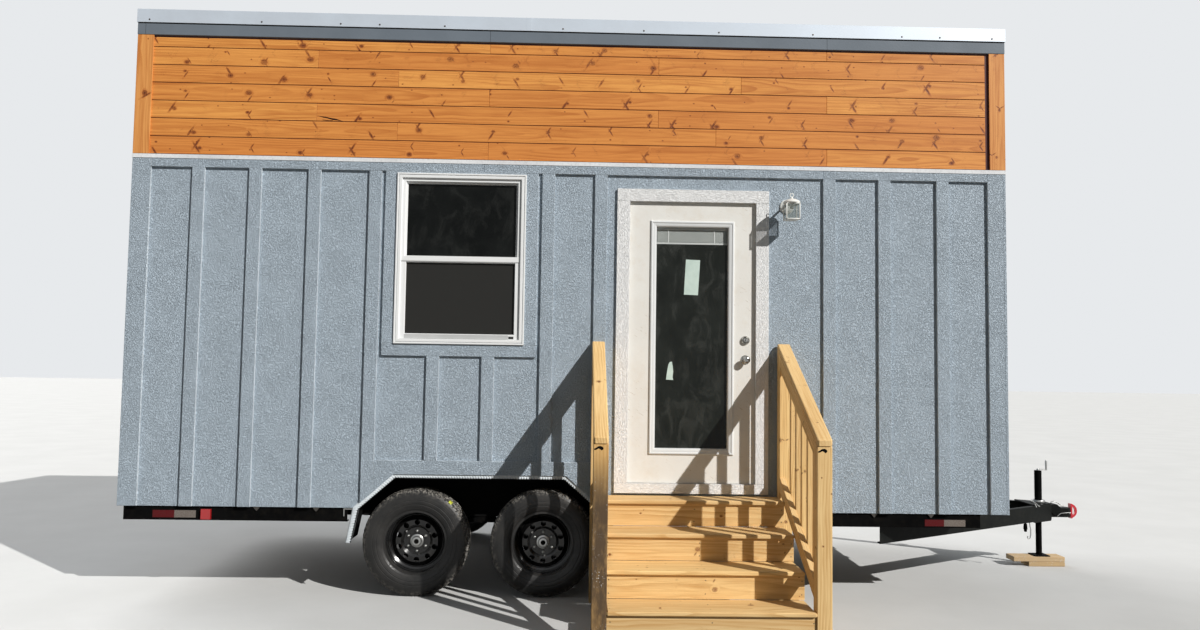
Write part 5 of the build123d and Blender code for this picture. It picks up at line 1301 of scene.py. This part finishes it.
# Floor, light and camera
studio = {
    "floor": (0.60, 0.605, 0.60), "speck": (0.565, 0.57, 0.565), "bounce": (0.09, 0.09, 0.085),
    "sky": 0.11, "skyTone": (0.90, 0.96, 1.0), "seen": (0.80, 0.82, 0.84),
}
lamps = {
    "keySun": {"energy": 4.55, "angle": 0.6, "color": (1.0, 0.975, 0.94), "toLamp": (1.06, -1.0, 0.95)},
    # A broad soft lamp for the back and the left end, which the key lamp doesn't reach
    "backLight": {"energy": 2.4, "angle": 50, "color": (1.0, 1.0, 1.0), "toLamp": (-0.9, 1.0, 0.8)},
}


def addObject(name, data):
    made = bpy.data.objects.new(name, data)
    bpy.context.scene.collection.objects.link(made)
    return made


# High where a view, a mirror or clear glass sees the surface, low where it only lends light
def seenDirect():
    rays = [add("LightPath", {}, kind) for kind in ("Is Camera Ray", "Is Glossy Ray", "Is Transmission Ray")]
    return calc("MAXIMUM", rays[0], calc("MAXIMUM", rays[1], rays[2]))


floorMesh = bpy.data.meshes.new("studioFloor")
floorMesh.from_pydata([(-60, -40, 0), (60, -40, 0), (60, 80, 0), (-60, 80, 0)], [], [(0, 1, 2, 3)])
floorMaterial = start("studioFloor")
speck = fade(noise(objectPlace(), 1.2, 5.0, 0.6), 0.3, 0.7)
pale = tint(speck, studio["floor"], studio["speck"])
floorMesh.materials.append(finish(floorMaterial, tint(seenDirect(), studio["bounce"], pale), 0.85))
studioFloor = addObject("studioFloor", floorMesh)

world = bpy.data.worlds.new("studioSky")
bpy.context.scene.world = world
world.use_nodes = True
tree = world.node_tree
seen = seenDirect()
feed(tree.nodes["Background"].inputs["Color"], tint(seen, studio["skyTone"], studio["seen"]))
feed(tree.nodes["Background"].inputs["Strength"], scaled(seen, 1.0 - studio["sky"], studio["sky"]))

for name, values in lamps.items():
    lamp = bpy.data.lights.new(name, "SUN")
    lamp.energy = values["energy"]
    lamp.angle = math.radians(values["angle"])
    lamp.color = values["color"]
    turn = Vector(values["toLamp"]).to_track_quat("Z", "Y")
    addObject(name, lamp).rotation_euler = turn.to_euler()

# The camera stands where the photograph's lines meet: yaw to the right, pitch up, a small roll
view = {"place": (3144.5, -6367.3, 1600.7), "yaw": 0.0237, "pitch": 0.0598, "roll": 0.0145, "lens": 27.0}
yaw, rise, roll = view["yaw"], view["pitch"], view["roll"]
ahead = Vector((math.sin(yaw) * math.cos(rise), math.cos(yaw) * math.cos(rise), math.sin(rise)))
side = Vector((math.cos(yaw), -math.sin(yaw), 0.0))
above = side.cross(ahead)
sideRolled = side * math.cos(roll) + above * math.sin(roll)
aboveRolled = above * math.cos(roll) - side * math.sin(roll)
lens = bpy.data.cameras.new("photoCamera")
lens.sensor_width = 36.0
lens.lens = view["lens"]
lens.clip_end = 300.0
camera = addObject("photoCamera", lens)
turnMatrix = Matrix((sideRolled, aboveRolled, -ahead)).transposed().to_4x4()
camera.matrix_world = Matrix.Translation(Vector(place(view["place"]))) @ turnMatrix
bpy.context.scene.camera = camera
bpy.context.scene.view_settings.view_transform = "Standard"
print("studio done")
